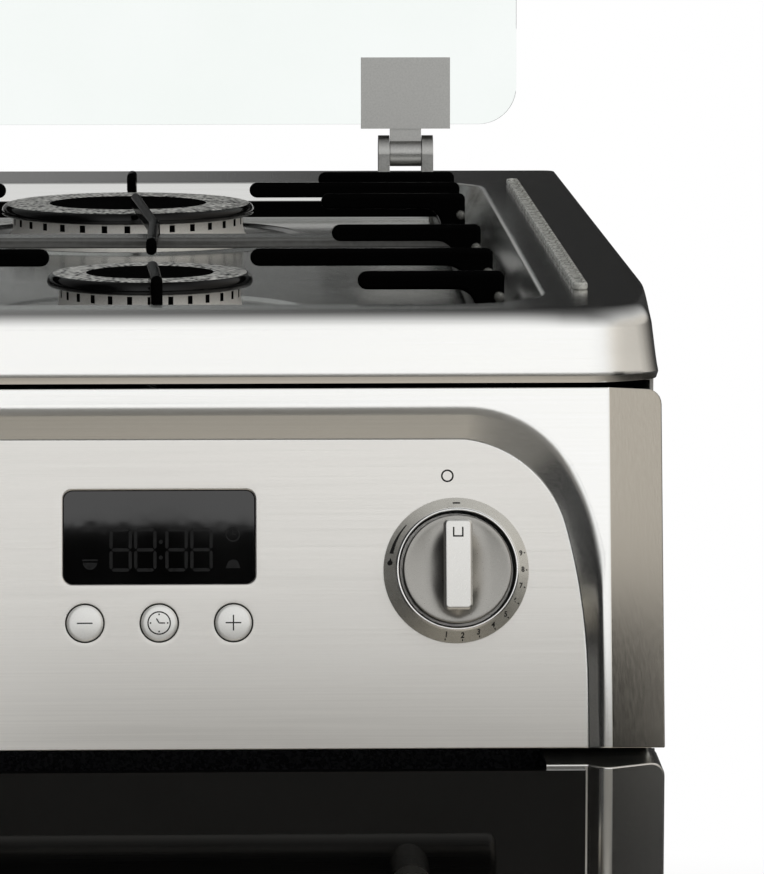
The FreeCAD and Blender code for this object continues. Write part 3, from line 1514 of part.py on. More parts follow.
def make_pan_support():
    """The right-hand pan support."""
    half = RAIL_WIDTH / 2
    outer = SUPPORT_OUTER_X
    inner = SUPPORT_INNER_X
    inner_rail, outer_rail = support_rails()
    z1 = RAIL_Z + RAIL_HEIGHT
    front, rear = SUPPORT_FRONT_Y, SUPPORT_REAR_Y
    bars = [
        box(outer_rail - half, outer_rail + half, front, rear, RAIL_Z, z1),
        box(inner_rail - half, inner_rail + half, front, rear, RAIL_Z, z1),
        box(inner_rail - half, outer_rail + half, front, front + RAIL_WIDTH, RAIL_Z, z1),
        box(inner_rail - half, outer_rail + half, rear - RAIL_WIDTH, rear, RAIL_Z, z1),
    ]
    cross_y = (FRONT_BURNER_Y + REAR_BURNER_Y) / 2 - CROSS_BAR_FORWARD
    low, high = cross_y - CROSS_BAR_WIDTH / 2, cross_y + CROSS_BAR_WIDTH / 2
    cross_z = FINGER_Z - CROSS_BAR_HEIGHT
    bars.append(box(inner_rail - half, outer_rail + half, low, high, cross_z, FINGER_Z))
    low, high = cross_y - half, cross_y + half
    for rail in (inner_rail, outer_rail):
        bars.append(box(rail - half, rail + half, low, high, RAIL_Z, FINGER_Z))
    for y, reach in finger_lines():
        centre = FRONT_BURNER_X if y < cross_y else REAR_BURNER_X
        bars += finger(outer, centre + reach, y)
        bars += finger(inner, centre - reach, y)
    fx, fy = FRONT_BURNER_X, FRONT_BURNER_Y
    rx, ry = REAR_BURNER_X, REAR_BURNER_Y
    root_x, tip_x = fx + FRONT_FINGER_ROOT, fx + FRONT_FINGER_TIP
    bars += depth_finger(root_x, front + half, tip_x, fy - FRONT_FINGER_STOP)
    bars += depth_finger(rx, rear - half, rx, ry + REAR_FINGER_STOP)
    cross_x = (fx + rx) / 2 + CROSS_ROOT
    bars += cross_finger(cross_x, cross_y, fx, fy, CROSS_STOP_FRONT)
    bars += cross_finger(cross_x, cross_y, rx, ry, CROSS_STOP_REAR)
    return joined(bars)


def cross_finger(x0, y0, burner_x, burner_y, stop):
    """A finger from the cross bar towards a burner's middle, ending short of it by stop."""
    half = FINGER_WIDTH / 2
    distance = math.hypot(burner_x - x0, burner_y - y0)
    length = distance - stop
    bar = box(-half, half, 0, length, FINGER_Z, FINGER_TOP)
    tip = cylinder(V(0, length, FINGER_Z), Z_AXIS, half, FINGER_HEIGHT)
    turn = math.degrees(math.atan2(x0 - burner_x, burner_y - y0))
    for piece in (bar, tip):
        piece.rotate(V(0, 0, 0), Z_AXIS, turn)
        piece.translate(V(x0, y0, 0))
    return [bar, tip]


def make_support_buffers():
    """Silicone pads under the right-hand support's corners, and domes on the fronts of its legs."""
    half = RAIL_WIDTH / 2
    buffers = []
    for x in support_rails():
        for y in (SUPPORT_FRONT_Y + half, SUPPORT_REAR_Y - half):
            buffers.append(cylinder(V(x, y, WELL_FLOOR), Z_AXIS, FOOT_PAD_R, FOOT_PAD_HEIGHT))
    for y, _ in finger_lines():
        for x in (SUPPORT_OUTER_X - BUFFER_R, SUPPORT_INNER_X + BUFFER_R):
            centre = V(x, y - FINGER_WIDTH / 2, FINGER_TOP - BUFFER_DROP)
            buffers.append(Part.makeSphere(BUFFER_R, centre, V(0, -1, 0), 0, 90, 360))
    return group(buffers)


def make_lid_rest_strips():
    half = STRIP_WIDTH / 2
    front, rear = STRIP_FRONT_Y + half, STRIP_REAR_Y - half
    top = HOB_HEIGHT + STRIP_HEIGHT
    bar = box(STRIP_X - half, STRIP_X + half, front, rear, HOB_HEIGHT, top)
    ends = [cylinder(V(STRIP_X, y, HOB_HEIGHT), Z_AXIS, half, STRIP_HEIGHT) for y in (front, rear)]
    strip = joined([bar] + ends)
    return group([strip, mirrored(strip)])


# Lid, drawn closed and then turned up to where it rests open.
def opened(shape):
    turned_up = shape.copy()
    turned_up.rotate(V(0, LID_AXIS_Y, LID_AXIS_Z), X_AXIS, -90 - LID_LEAN)
    return turned_up


def make_lid_glass():
    low = LID_AXIS_Z - LID_PANE / 2
    outline = rounded_outline(LID_HALF, LID_FRONT_Y, LID_REAR_Y, WELL_CORNER / 2, low)
    return opened(Part.Face(outline).extrude(V(0, 0, LID_PANE)))


def make_lid_hinge_leaves():
    """A clamp on the lid's rear edge at each hinge, with a barrel for the hinge pin."""
    half = LID_LEAF_WIDTH / 2
    rear = LID_REAR_Y
    thick = LID_PANE / 2 + LID_LEAF_WALL
    clamp = box(
        LID_HINGE_X - half,
        LID_HINGE_X + half,
        rear - LID_LEAF_LENGTH,
        rear + LID_LEAF_WALL,
        LID_AXIS_Z - thick,
        LID_AXIS_Z + thick,
    )
    slot = box(
        LID_HINGE_X - half,
        LID_HINGE_X + half,
        rear - 2 * LID_LEAF_LENGTH,
        rear,
        LID_AXIS_Z - LID_PANE / 2,
        LID_AXIS_Z + LID_PANE / 2,
    )
    start_x = LID_HINGE_X - LID_BARREL_LENGTH / 2
    neck = box(
        start_x,
        start_x + LID_BARREL_LENGTH,
        rear + LID_LEAF_WALL / 2,
        LID_AXIS_Y,
        LID_AXIS_Z - LID_PANE / 2,
        LID_AXIS_Z + LID_PANE / 2,
    )
    barrel = cylinder(V(start_x, LID_AXIS_Y, LID_AXIS_Z), X_AXIS, LID_BARREL_R, LID_BARREL_LENGTH)
    bore_start = V(start_x - LID_EAR, LID_AXIS_Y, LID_AXIS_Z)
    bore = cylinder(bore_start, X_AXIS, LID_PIN_R + RUNNING_FIT, 2 * LID_BARREL_LENGTH)
    leaf = joined([clamp.cut(slot), neck, barrel]).cut(bore)
    return opened(group([leaf, mirrored(leaf)]))


def make_lid_hinge_posts():
    """Forks on the hob's rear rim that hold the lid's hinge pins."""
    ear_r = LID_BARREL_R + LID_LEAF_WALL
    gap = LID_BARREL_LENGTH / 2 + LOOSE_FIT
    ears = []
    front, rear = LID_AXIS_Y - ear_r, LID_AXIS_Y + ear_r
    for start_x in (LID_HINGE_X - gap - LID_EAR, LID_HINGE_X + gap):
        ears.append(cylinder(V(start_x, LID_AXIS_Y, LID_AXIS_Z), X_AXIS, ear_r, LID_EAR))
        ears.append(box(start_x, start_x + LID_EAR, front, rear, HOB_HEIGHT, LID_AXIS_Z))
    half = gap + LID_EAR
    foot_top = HOB_HEIGHT + LID_LEAF_WALL
    base = box(LID_HINGE_X - half, LID_HINGE_X + half, front, rear, HOB_HEIGHT, foot_top)
    pin = cylinder(V(LID_HINGE_X - half, LID_AXIS_Y, LID_AXIS_Z), X_AXIS, LID_PIN_R, 2 * half)
    post = joined(ears + [base, pin])
    return group([post, mirrored(post)])


def make_lid_buffers():
    low = HOB_HEIGHT + STRIP_HEIGHT + LOOSE_FIT
    high = LID_AXIS_Z - LID_PANE / 2
    buffer = cylinder(V(STRIP_X, LID_BUFFER_Y, low), Z_AXIS, LID_BUFFER_R, high - low)
    return opened(group([buffer, mirrored(buffer)]))


def build():
    main_z, top_z = CAVITIES["main"][0], CAVITIES["top"][0]
    side = make_side_panel()
    support = make_pan_support()
    buffers = make_support_buffers()
    nodes = {
        "base_tray": make_base_tray(),
        "levelling_feet": make_levelling_feet(),
        "plinth": make_plinth(),
        "side_panels": group([side, mirrored(side)]),
        "rear_panel": make_rear_panel(),
        "rear_panel_screws": make_rear_panel_screws(),
        "front_frame": make_front_frame(),
        "top_oven_liner": make_liner("top"),
        "main_oven_liner": make_liner("main"),
        "oven_insulation": make_oven_insulation(),
        "oven_door_seals": make_oven_door_seals(),
        "shelf_runners": make_shelf_runners(),
        "main_oven_shelf_lower": make_shelf(main_z + MAIN_RUNNERS[0]),
        "main_oven_shelf_upper": make_shelf(main_z + MAIN_RUNNERS[2]),
        "top_oven_shelf": make_shelf(top_z + TOP_RUNNERS[0]),
        "grill_pan": make_grill_pan(),
        "oven_burners": group([make_grill_burner(), make_main_oven_burner()]),
        "flue_duct": make_flue_duct(),
        "gas_manifold": make_gas_manifold(),
        "gas_taps": make_gas_taps(),
        "burner_pipes": make_burner_pipes(),
        "gas_inlet": make_gas_inlet(),
        "control_panel": make_control_panel(),
        "knob_bezels": make_knob_bezels(),
        "timer_window": make_timer_window(),
        "timer_module": make_timer_module(),
        "hob_top": make_hob_top(),
        "lid_rest_strips": make_lid_rest_strips(),
        "burner_cups": make_burner_cups(),
        "burner_crowns": make_burner_crowns(),
        "burner_caps": make_burner_caps(),
        "burner_electrodes": make_burner_electrodes(),
        "pan_support_left": mirrored(support),
        "pan_support_right": support,
        "support_buffers_left": mirrored(buffers),
        "support_buffers_right": buffers,
        "lid_glass": make_lid_glass(),
        "lid_hinge_leaves": make_lid_hinge_leaves(),
        "lid_hinge_posts": make_lid_hinge_posts(),
        "lid_buffers": make_lid_buffers(),
        "door_hinge_arms": make_door_hinge_arms(),
    }
    nodes.update(make_knobs())
    nodes.update(make_timer_buttons())
    nodes.update(make_door("top", TOP_DOOR_Z, TOP_DOOR_HEIGHT, TOP_WINDOW_HEIGHT, False))
    nodes.update(make_door("main", MAIN_DOOR_Z, MAIN_DOOR_HEIGHT, MAIN_WINDOW_HEIGHT, True))
    return nodes


os.makedirs("parts", exist_ok=True)
for node, shape in build().items():
    shape.exportStep(f"parts/{node}.step")
    print(node, len(shape.Solids), shape.isValid(), round(shape.Volume))
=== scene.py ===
# %% [markdown]
# # A freestanding gas cooker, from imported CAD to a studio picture
#
# The cooker arrives as CAD: every node sits where it belongs and is parented to the body that it
# moves with. This lesson sets a camera and a studio around it, gives each material its finish, and
# models again the pieces that the eye rests on: the hob, the burners, the pan supports, the pressed
# fronts, the timer and the knobs.

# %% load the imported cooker
import math
import bmesh
import bpy
from mathutils import Matrix, Vector


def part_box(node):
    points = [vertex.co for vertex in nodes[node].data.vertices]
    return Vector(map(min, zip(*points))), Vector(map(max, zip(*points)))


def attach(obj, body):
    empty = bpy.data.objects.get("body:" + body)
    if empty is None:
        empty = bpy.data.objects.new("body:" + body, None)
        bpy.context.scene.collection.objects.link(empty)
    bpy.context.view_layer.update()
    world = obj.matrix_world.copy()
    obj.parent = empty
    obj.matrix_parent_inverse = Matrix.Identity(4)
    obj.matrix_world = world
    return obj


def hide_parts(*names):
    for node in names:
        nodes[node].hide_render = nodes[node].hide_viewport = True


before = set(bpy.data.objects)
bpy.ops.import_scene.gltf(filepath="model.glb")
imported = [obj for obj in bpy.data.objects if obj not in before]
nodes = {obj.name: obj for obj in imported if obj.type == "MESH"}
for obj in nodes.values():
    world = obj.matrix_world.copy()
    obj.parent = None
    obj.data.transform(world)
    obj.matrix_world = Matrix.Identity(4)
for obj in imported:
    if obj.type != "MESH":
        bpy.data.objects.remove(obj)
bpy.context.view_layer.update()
MM = 0.001
print("loaded", len(nodes), "CAD nodes")

# %% [markdown]
# A few small tools come first. Selecting by place is what a pointer does by hand, so one function
# picks the vertices, edges or faces that pass a test. A skin is a grid primitive whose vertices are
# laid on a surface row by row, and a lathe spins a profile about the vertical axis. Points that end up
# in one place are welded, so that the shading runs on across the seam.

# %% tools
# A test for a place allows for NEAR, in mm, or for LOOSE where nothing else is close.
WELD = 0.002 * MM
NEAR = 0.01
LOOSE = 0.1

def clear_selection():
    if bpy.context.mode != "OBJECT":
        bpy.ops.object.mode_set(mode="OBJECT")
    bpy.ops.object.select_all(action="DESELECT")


def choose(kind, test, border=False):
    """Select, in edit mode, the vertices, edges or faces whose corners all pass a test in mm."""
    bpy.ops.mesh.select_mode(type=kind)
    bpy.ops.mesh.select_all(action="DESELECT")
    mesh = bmesh.from_edit_mesh(bpy.context.object.data)
    for item in {"VERT": mesh.verts, "EDGE": mesh.edges, "FACE": mesh.faces}[kind]:
        corners = [item] if kind == "VERT" else item.verts
        wanted = not border or len(item.link_faces) < 2
        item.select_set(wanted and all(test(*(corner.co / MM)) for corner in corners))
    mesh.select_flush_mode()


def skin(rows, closed=False):
    """A grid laid on rows of points in mm. A closed one joins each row's end to its start."""
    clear_selection()
    bpy.ops.mesh.primitive_grid_add(x_subdivisions=len(rows[0]) - 1, y_subdivisions=len(rows) - 1)
    made = bpy.context.object
    points = [point for row in rows for point in row]
    for vertex, point in zip(made.data.vertices, points):
        vertex.co = Vector(point) * MM
    bpy.ops.object.mode_set(mode="EDIT")
    if closed:
        bpy.ops.mesh.select_all(action="SELECT")
        bpy.ops.mesh.remove_doubles(threshold=WELD)
    return made


def cap_ends():
    """Close every open edge of the mesh in edit mode with faces, and turn all faces outwards."""
    bpy.ops.mesh.select_all(action="DESELECT")
    bpy.ops.mesh.select_mode(type="EDGE")
    bpy.ops.mesh.select_non_manifold()
    bpy.ops.mesh.edge_face_add()
    bpy.ops.mesh.select_all(action="SELECT")
    bpy.ops.mesh.normals_make_consistent(inside=False)


def lathe(profile, steps=96):
    """Spin a profile of radius and height in mm about the Z axis."""
    clear_selection()
    bpy.ops.mesh.primitive_plane_add(size=MM)
    bpy.ops.object.mode_set(mode="EDIT")
    bpy.ops.mesh.select_mode(type="VERT")
    bpy.ops.mesh.select_all(action="SELECT")
    bpy.ops.mesh.merge(type="CENTER")
    bpy.ops.transform.translate(value=(profile[0][0] * MM, 0, profile[0][1] * MM))
    for (r0, z0), (r1, z1) in zip(profile, profile[1:]):
        step = ((r1 - r0) * MM, 0, (z1 - z0) * MM)
        bpy.ops.mesh.extrude_region_move(TRANSFORM_OT_translate={"value": step})
    bpy.ops.mesh.select_all(action="SELECT")
    bpy.ops.mesh.spin(steps=steps, angle=math.tau, center=(0, 0, 0), axis=(0, 0, 1))
    bpy.ops.mesh.select_all(action="SELECT")
    bpy.ops.mesh.remove_doubles(threshold=WELD)
    bpy.ops.mesh.normals_make_consistent(inside=False)
    return bpy.context.object


def rounded(points, reaches, steps=5):
    """An open path whose inner corners are each rounded off over a reach."""
    path = [points[0]]
    for before, corner, after, reach in zip(points, points[1:], points[2:], reaches):
        start = corner + (before - corner).normalized() * reach
        end = corner + (after - corner).normalized() * reach
        for k in range(steps + 1):
            t = k / steps
            path.append(start * (1 - t) ** 2 + corner * 2 * t * (1 - t) + end * t**2)
    path.append(points[-1])
    return path


def slab(outline, place, half, edge, steps=3):
    """A plate with rounded edges on a closed outline in mm; place turns (a, b, depth) into a point."""
    count = len(outline)
    normals = []
    for k in range(count):
        along = Vector(outline[(k + 1) % count]) - Vector(outline[k - 1])
        normals.append(Vector((along.y, -along.x)).normalized())
    levels = []
    for k in range(steps + 1):
        angle = math.radians(90 * k / steps)
        levels.append((edge * (1 - math.sin(angle)), half - edge * (1 - math.cos(angle))))
    levels = [(inset, -depth) for inset, depth in levels] + levels[::-1]
    rows = []
    for inset, depth in levels:
        ring = [Vector(p) - n * inset for p, n in zip(outline, normals)]
        rows.append([place(p.x, p.y, depth) for p in ring + ring[:1]])
    made = skin(rows, closed=True)
    cap_ends()
    return made


def join(parts):
    clear_selection()
    for part in parts:
        part.select_set(True)
    bpy.context.view_layer.objects.active = parts[0]
    if len(parts) > 1:
        bpy.ops.object.join()
    return parts[0]


def put(thing, matrix):
    """Place an object and apply its place, so that it stands at the origin, unscaled."""
    clear_selection()
    thing.matrix_world = matrix
    thing.select_set(True)
    bpy.context.view_layer.objects.active = thing
    bpy.ops.object.transform_apply(location=True, rotation=True, scale=True)
    return thing


def copy_of(thing, matrix):
    """A copy with its own mesh, put in its place."""
    clear_selection()
    thing.select_set(True)
    bpy.context.view_layer.objects.active = thing
    bpy.ops.object.duplicate(linked=False)
    return put(bpy.context.object, matrix)


def flip_faces(thing):
    """Turn the faces of a mirrored copy outwards again."""
    clear_selection()
    bpy.context.view_layer.objects.active = thing
    thing.select_set(True)
    bpy.ops.object.mode_set(mode="EDIT")
    bpy.ops.mesh.select_all(action="SELECT")
    bpy.ops.mesh.normals_make_consistent(inside=False)
    bpy.ops.object.mode_set(mode="OBJECT")


def mirrored(thing):
    """A copy on the other side of the cooker."""
    made = copy_of(thing, Matrix.Scale(-1, 4, Vector((1, 0, 0))))
    flip_faces(made)
    return made


def coat(thing, index, test):
    """In edit mode, give the faces that pass a test another of the piece's finishes."""
    choose("FACE", test)
    thing.active_material_index = index
    bpy.ops.object.material_slot_assign()


def done(thing, name, body, material, replaced=(), smooth=35):
    """Name a finished piece, give it its finish and hand it to the body that it rides on."""
    clear_selection()
    thing.select_set(True)
    bpy.context.view_layer.objects.active = thing
    thing.name = name
    thing.data.name = name
    if not thing.data.materials:
        thing.data.materials.append(material)
    bpy.ops.object.shade_smooth_by_angle(angle=math.radians(smooth))
    bpy.ops.object.modifier_add(type="WEIGHTED_NORMAL")
    thing.modifiers[0].keep_sharp = True
    bpy.ops.object.modifier_apply(modifier=thing.modifiers[0].name)
    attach(thing, body)
    if replaced:
        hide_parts(*replaced)
    print(name, len(thing.data.polygons), "faces, rides on", body)
    return thing


# %% [markdown]
# The camera stands in front of the right-hand corner, a little above the hob, with a long lens that
# keeps the panel's edges close to parallel. The Standard view shows each colour as it is written.

# %% camera
CAMERA_PLACE = (0.1690, -1.7195, 1.0652)
CAMERA_DOWN = 8.056
CAMERA_YAW = 1.441
CAMERA_LENS = 182.99
bpy.ops.object.camera_add(
    location=CAMERA_PLACE, rotation=(math.radians(90 - CAMERA_DOWN), 0, math.radians(-CAMERA_YAW))
)
camera = bpy.context.object
camera.data.lens = CAMERA_LENS
bpy.context.scene.camera = camera
bpy.context.scene.view_settings.view_transform = "Standard"
print("camera", round(camera.data.lens), "mm")

# %% [markdown]
# Steel shows what stands around it, so the studio is built as things to mirror. The sky is white in
# front and fades over the top to dark behind. Its left side is dim, a pale wall stands behind on the
# left, and a skylight opens high on the right. A camera ray that meets the sky sees plain white. One
# small function adds a node with its settings, and another reads a colour as it is written in a picture.

# %% studio sky
def add(tree, kind, inputs=None, **settings):
    """Add a node; an input is a value, or a socket that is linked to it."""
    made = tree.nodes.new(kind)
    for name, value in settings.items():
        setattr(made, name, value)
    for name, value in (inputs or {}).items():
        if isinstance(value, bpy.types.NodeSocket):
            tree.links.new(value, made.inputs[name])
        else:
            made.inputs[name].default_value = value
    return made


def colour(code):
    """A colour written as in a picture, made linear for the shaders."""
    parts = [int(code[k : k + 2], 16) / 255 for k in (1, 3, 5)]
    return [p / 12.92 if p <= 0.04045 else ((p + 0.055) / 1.055) ** 2.4 for p in parts] + [1.0]


world = bpy.data.worlds.new("studio")
bpy.context.scene.world = world
world.use_nodes = True
sky = world.node_tree
way = add(sky, "ShaderNodeSeparateXYZ", {0: add(sky, "ShaderNodeTexCoord").outputs["Generated"]})
SMOOTH = {"interpolation_type": "SMOOTHSTEP"}
across, depth, height = (way.outputs[axis] for axis in "XYZ")
# White in front and dark behind. The fade is slower towards the right.
ahead = add(sky, "ShaderNodeMapRange", {"Value": depth, "From Min": 1.0, "From Max": -1.0, "To Max": 1.03})
bend = add(
    sky,
    "ShaderNodeMapRange",
    {"Value": across, "From Min": 0.1, "From Max": 0.35, "To Min": 2.2, "To Max": 1.5},
)
fade = add(sky, "ShaderNodeMath", {0: ahead.outputs[0], 1: bend.outputs[0]}, operation="POWER")
# The left side is dim.
dim = add(
    sky,
    "ShaderNodeMapRange",
    {"Value": across, "From Min": -0.65, "From Max": -0.2, "To Min": 0.03},
    **SMOOTH,
)
fade = add(sky, "ShaderNodeMath", {0: fade.outputs[0], 1: dim.outputs[0]}, operation="MULTIPLY")
# A pale wall stands behind on the left.
behind = add(sky, "ShaderNodeMapRange", {"Value": depth, "From Min": -0.2, "From Max": 0.4}, **SMOOTH)
left = add(
    sky,
    "ShaderNodeMapRange",
    {"Value": across, "From Min": 0.06, "From Max": -0.08, "To Min": 0.012, "To Max": 0.2},
    **SMOOTH,
)
back = add(sky, "ShaderNodeMath", {0: behind.outputs[0], 1: left.outputs[0]}, operation="MULTIPLY")
level = add(sky, "ShaderNodeMath", {0: fade.outputs[0], 1: back.outputs[0]}, operation="MAXIMUM")
# A skylight opens high on the right.
beside = add(sky, "ShaderNodeMapRange", {"Value": across, "From Min": 0.09, "From Max": 0.6, "To Max": 0.6})
above = add(sky, "ShaderNodeMapRange", {"Value": height, "From Min": 0.1, "From Max": 0.5}, **SMOOTH)
skylight = add(sky, "ShaderNodeMath", {0: beside.outputs[0], 1: above.outputs[0]}, operation="MULTIPLY")
level = add(sky, "ShaderNodeMath", {0: level.outputs[0], 1: skylight.outputs[0]}, operation="MAXIMUM")
# The camera sees plain white, also through clear glass, but not in a reflection.
path = add(sky, "ShaderNodeLightPath").outputs
direct = add(sky, "ShaderNodeMath", {0: path["Glossy Depth"], 1: 0.5}, operation="LESS_THAN")
through = add(
    sky, "ShaderNodeMath", {0: path["Is Transmission Ray"], 1: direct.outputs[0]}, operation="MULTIPLY"
)
plain = add(sky, "ShaderNodeMath", {0: path["Is Camera Ray"], 1: through.outputs[0]}, operation="MAXIMUM")
level = add(sky, "ShaderNodeMath", {0: level.outputs[0], 1: plain.outputs[0]}, operation="MAXIMUM")
sky.links.new(level.outputs[0], sky.nodes["Background"].inputs["Strength"])
# The light from the right is a little warm.
right = add(sky, "ShaderNodeMapRange", {"Value": across, "From Min": 0.4, "From Max": 0.8}, **SMOOTH)
tint = add(
    sky, "ShaderNodeMath", {0: right.outputs[0], 1: plain.outputs[0]}, operation="SUBTRACT", use_clamp=True
)
wall = add(
    sky, "ShaderNodeMix", {0: tint.outputs[0], 6: colour("#ffffff"), 7: colour("#f8f2e9")}, data_type="RGBA"
)
sky.links.new(wall.outputs[2], sky.nodes["Background"].inputs["Color"])
print("studio sky", len(sky.nodes), "nodes")

# %% [markdown]
# A large soft box overhead lights the paint, enamel and plastic, and a weaker one behind keeps the rear
# readable. Neither is mirrored or seen through the glass lid, because the sky already gives the steel
# all that it has to show.

# %% soft boxes
def soft_box(name, place, aim, width, height, radiance):
    """A soft box that faces a point; its power follows from its size, so that its face is even."""
    turn = (Vector(aim) - Vector(place)).to_track_quat("-Z", "Y").to_euler()
    clear_selection()
    bpy.ops.object.light_add(type="AREA", location=place, rotation=turn)
    lamp = bpy.context.object
    lamp.name = name
    lamp.data.shape = "RECTANGLE"
    lamp.data.size = width
    lamp.data.size_y = height
    lamp.data.energy = radiance * math.pi * width * height
    lamp.visible_camera = False
    lamp.visible_glossy = False
    lamp.visible_transmission = False
    print(name, round(lamp.data.energy), "watts")


soft_box("top_box", (0.5, -0.9, 3.0), (0.0, 0.0, 0.8), 2.4, 2.4, 1.4)
soft_box("back_box", (-0.8, 2.6, 2.0), (0.0, 0.3, 0.5), 2.0, 2.0, 0.7)

# %% [markdown]
# The floor is a sheet of paper with a soft shadow near the cooker, and it brightens to plain white
# further out. Mirror rays see it otherwise, as a grey that deepens about a metre out and then grows
# pale, because that is what the steel has to show. A light path node tells the kinds of ray apart.

# %% paper floor
clear_selection()
bpy.ops.mesh.primitive_plane_add(size=40)
floor = bpy.context.object
floor.name = "studio_floor"
# Matt white paper whose fibres keep it from looking like plastic.
paper = bpy.data.materials.new("white studio paper")
paper.use_nodes = True
tree = paper.node_tree
spot = add(tree, "ShaderNodeTexCoord").outputs["Object"]
reach = add(tree, "ShaderNodeVectorMath", {0: spot}, operation="LENGTH")
# The camera sees the paper turn plain white further out.
far = add(tree, "ShaderNodeMapRange", {"Value": reach.outputs["Value"], "From Min": 0.7, "From Max": 2.8})
# Mirror rays see it glow only in front of the cooker and near its middle.
side = add(tree, "ShaderNodeSeparateXYZ", {0: spot})
ahead = add(tree, "ShaderNodeMapRange", {"Value": side.outputs["Y"], "From Min": 0.3, "From Max": -0.3})
east = add(tree, "ShaderNodeMapRange", {"Value": side.outputs["X"], "From Min": -1.0, "From Max": 0.1})
west = add(tree, "ShaderNodeMapRange", {"Value": side.outputs["X"], "From Min": 1.3, "From Max": 0.5})
zone = add(tree, "ShaderNodeMath", {0: ahead.outputs[0], 1: east.outputs[0]}, operation="MULTIPLY")
zone = add(tree, "ShaderNodeMath", {0: zone.outputs[0], 1: west.outputs[0]}, operation="MULTIPLY")
sheen = add(tree, "ShaderNodeMath", {0: zone.outputs[0], 1: 0.05}, operation="MAXIMUM")
# Their grey deepens about a metre out.
away = add(tree, "ShaderNodeMapRange", {"Value": reach.outputs["Value"], "From Max": 4.0})
shade = add(tree, "ShaderNodeValToRGB", {"Fac": away.outputs[0]})
shade.color_ramp.elements[0].color = colour("#c4bcb1")
for spot_on, tone in ((0.24, "#c4bcb1"), (0.31, "#9b958b"), (0.5, "#cfcac0"), (0.75, "#ffffff")):
    shade.color_ramp.elements.new(spot_on).color = colour(tone)
mirror_glow = add(tree, "ShaderNodeEmission", {"Color": shade.outputs["Color"], "Strength": sheen.outputs[0]})
path = add(tree, "ShaderNodeLightPath").outputs
seen = add(
    tree, "ShaderNodeMath", {0: path["Is Camera Ray"], 1: path["Is Transmission Ray"]}, operation="MAXIMUM"
)
white = add(tree, "ShaderNodeMath", {0: far.outputs[0], 1: seen.outputs[0]}, operation="MULTIPLY")
glow = add(tree, "ShaderNodeEmission", {"Color": colour("#ffffff"), "Strength": 1.0})
fibre = add(tree, "ShaderNodeTexNoise", {"Vector": spot, "Scale": 400.0, "Detail": 2.0})
tone = add(
    tree,
    "ShaderNodeMix",
    {0: fibre.outputs["Fac"], 6: colour("#e4e2dd"), 7: colour("#ecebe7")},
    data_type="RGBA",
)
matt = tree.nodes["Principled BSDF"]
tree.links.new(tone.outputs[2], matt.inputs["Base Color"])
matt.inputs["Roughness"].default_value = 0.9
mixed = add(tree, "ShaderNodeMixShader", {0: white.outputs[0], 1: matt.outputs[0], 2: glow.outputs[0]})
bounced = add(
    tree,
    "ShaderNodeMath",
    {0: path["Is Glossy Ray"], 1: path["Is Transmission Ray"]},
    operation="SUBTRACT",
    use_clamp=True,
)
mixed = add(
    tree, "ShaderNodeMixShader", {0: bounced.outputs[0], 1: mixed.outputs[0], 2: mirror_glow.outputs[0]}
)
tree.links.new(mixed.outputs[0], tree.nodes["Material Output"].inputs["Surface"])
floor.data.materials.append(paper)
print("paper floor", len(tree.nodes), "nodes")

# %% [markdown]
# Photographers hang black flags and pale cards where polished things will mirror them. Here one flag
# lies in the lower part of the timer glass and one darkens the foot of the panel's right-hand cheek,
# while two cards shade the foot of the panel. They are planes that only mirror rays see.

# %% flags and cards
FLAGS = {
    "studio_flag": ((0.07, -2.6, 1.405), (0.27, 0.09, 1)),
    "studio_side_flag": ((0.7, -0.595, 0.71), (0.25, 0.36, 1)),
    "studio_card": ((0.42, -0.6, 0.73), (0.8, 0.23, 1)),
    "studio_side_card": ((0.95, -0.62, 0.75), (0.5, 0.3, 1)),
}
flags = []
for name, (spot, size) in FLAGS.items():
    bpy.ops.mesh.primitive_plane_add(size=1, location=spot, rotation=(math.radians(90), 0, 0))
    flag = bpy.context.object
    flag.name = name
    flag.scale = size
    flag.visible_camera = False
    flag.visible_shadow = False
    flag.visible_diffuse = False
    flag.visible_transmission = False
    flags.append(flag)
print(len(flags), "flags and cards")

# %% [markdown]
# Every finish is one idea: a colour that wanders between two tones, a roughness that wanders with it,
# and a fine relief, all on a grain that is sized in millimetres. A stretch along one axis turns the
# grain into brush lines. One function builds them all, so that the lines below read as a list of
# materials.

# %% how a finish is made
def finish(name, tones, metallic, rough, grain, stretch=(1, 1, 1), relief=0.0, detail=3.0, **extra):
    """A material from two tones, a range of roughness, and a grain and relief in mm."""
    made = bpy.data.materials.new(name)
    made.use_nodes = True
    tree = made.node_tree
    shader = tree.nodes["Principled BSDF"]
    spot = add(tree, "ShaderNodeTexCoord").outputs["Object"]
    scale = [1 / (grain * along * MM) for along in stretch]
    sized = add(tree, "ShaderNodeMapping", {"Vector": spot, "Scale": scale})
    noise = add(tree, "ShaderNodeTexNoise", {"Vector": sized.outputs[0], "Scale": 1.0, "Detail": detail})
    grey = noise.outputs["Fac"]
    wander = add(tree, "ShaderNodeMapRange", {"Value": grey, "From Min": 0.3, "From Max": 0.7}).outputs[0]
    tone = add(
        tree, "ShaderNodeMix", {0: wander, 6: colour(tones[0]), 7: colour(tones[1])}, data_type="RGBA"
    )
    gloss = add(tree, "ShaderNodeMapRange", {"Value": wander, "To Min": rough[0], "To Max": rough[1]})
    tree.links.new(tone.outputs[2], shader.inputs["Base Color"])
    tree.links.new(gloss.outputs[0], shader.inputs["Roughness"])
    if relief:
        bump = add(tree, "ShaderNodeBump", {"Height": grey, "Strength": 1.0, "Distance": relief * MM})
        tree.links.new(bump.outputs[0], shader.inputs["Normal"])
    shader.inputs["Metallic"].default_value = metallic
    for socket, value in extra.items():
        shader.inputs[socket.replace("_", " ")].default_value = value
    return made


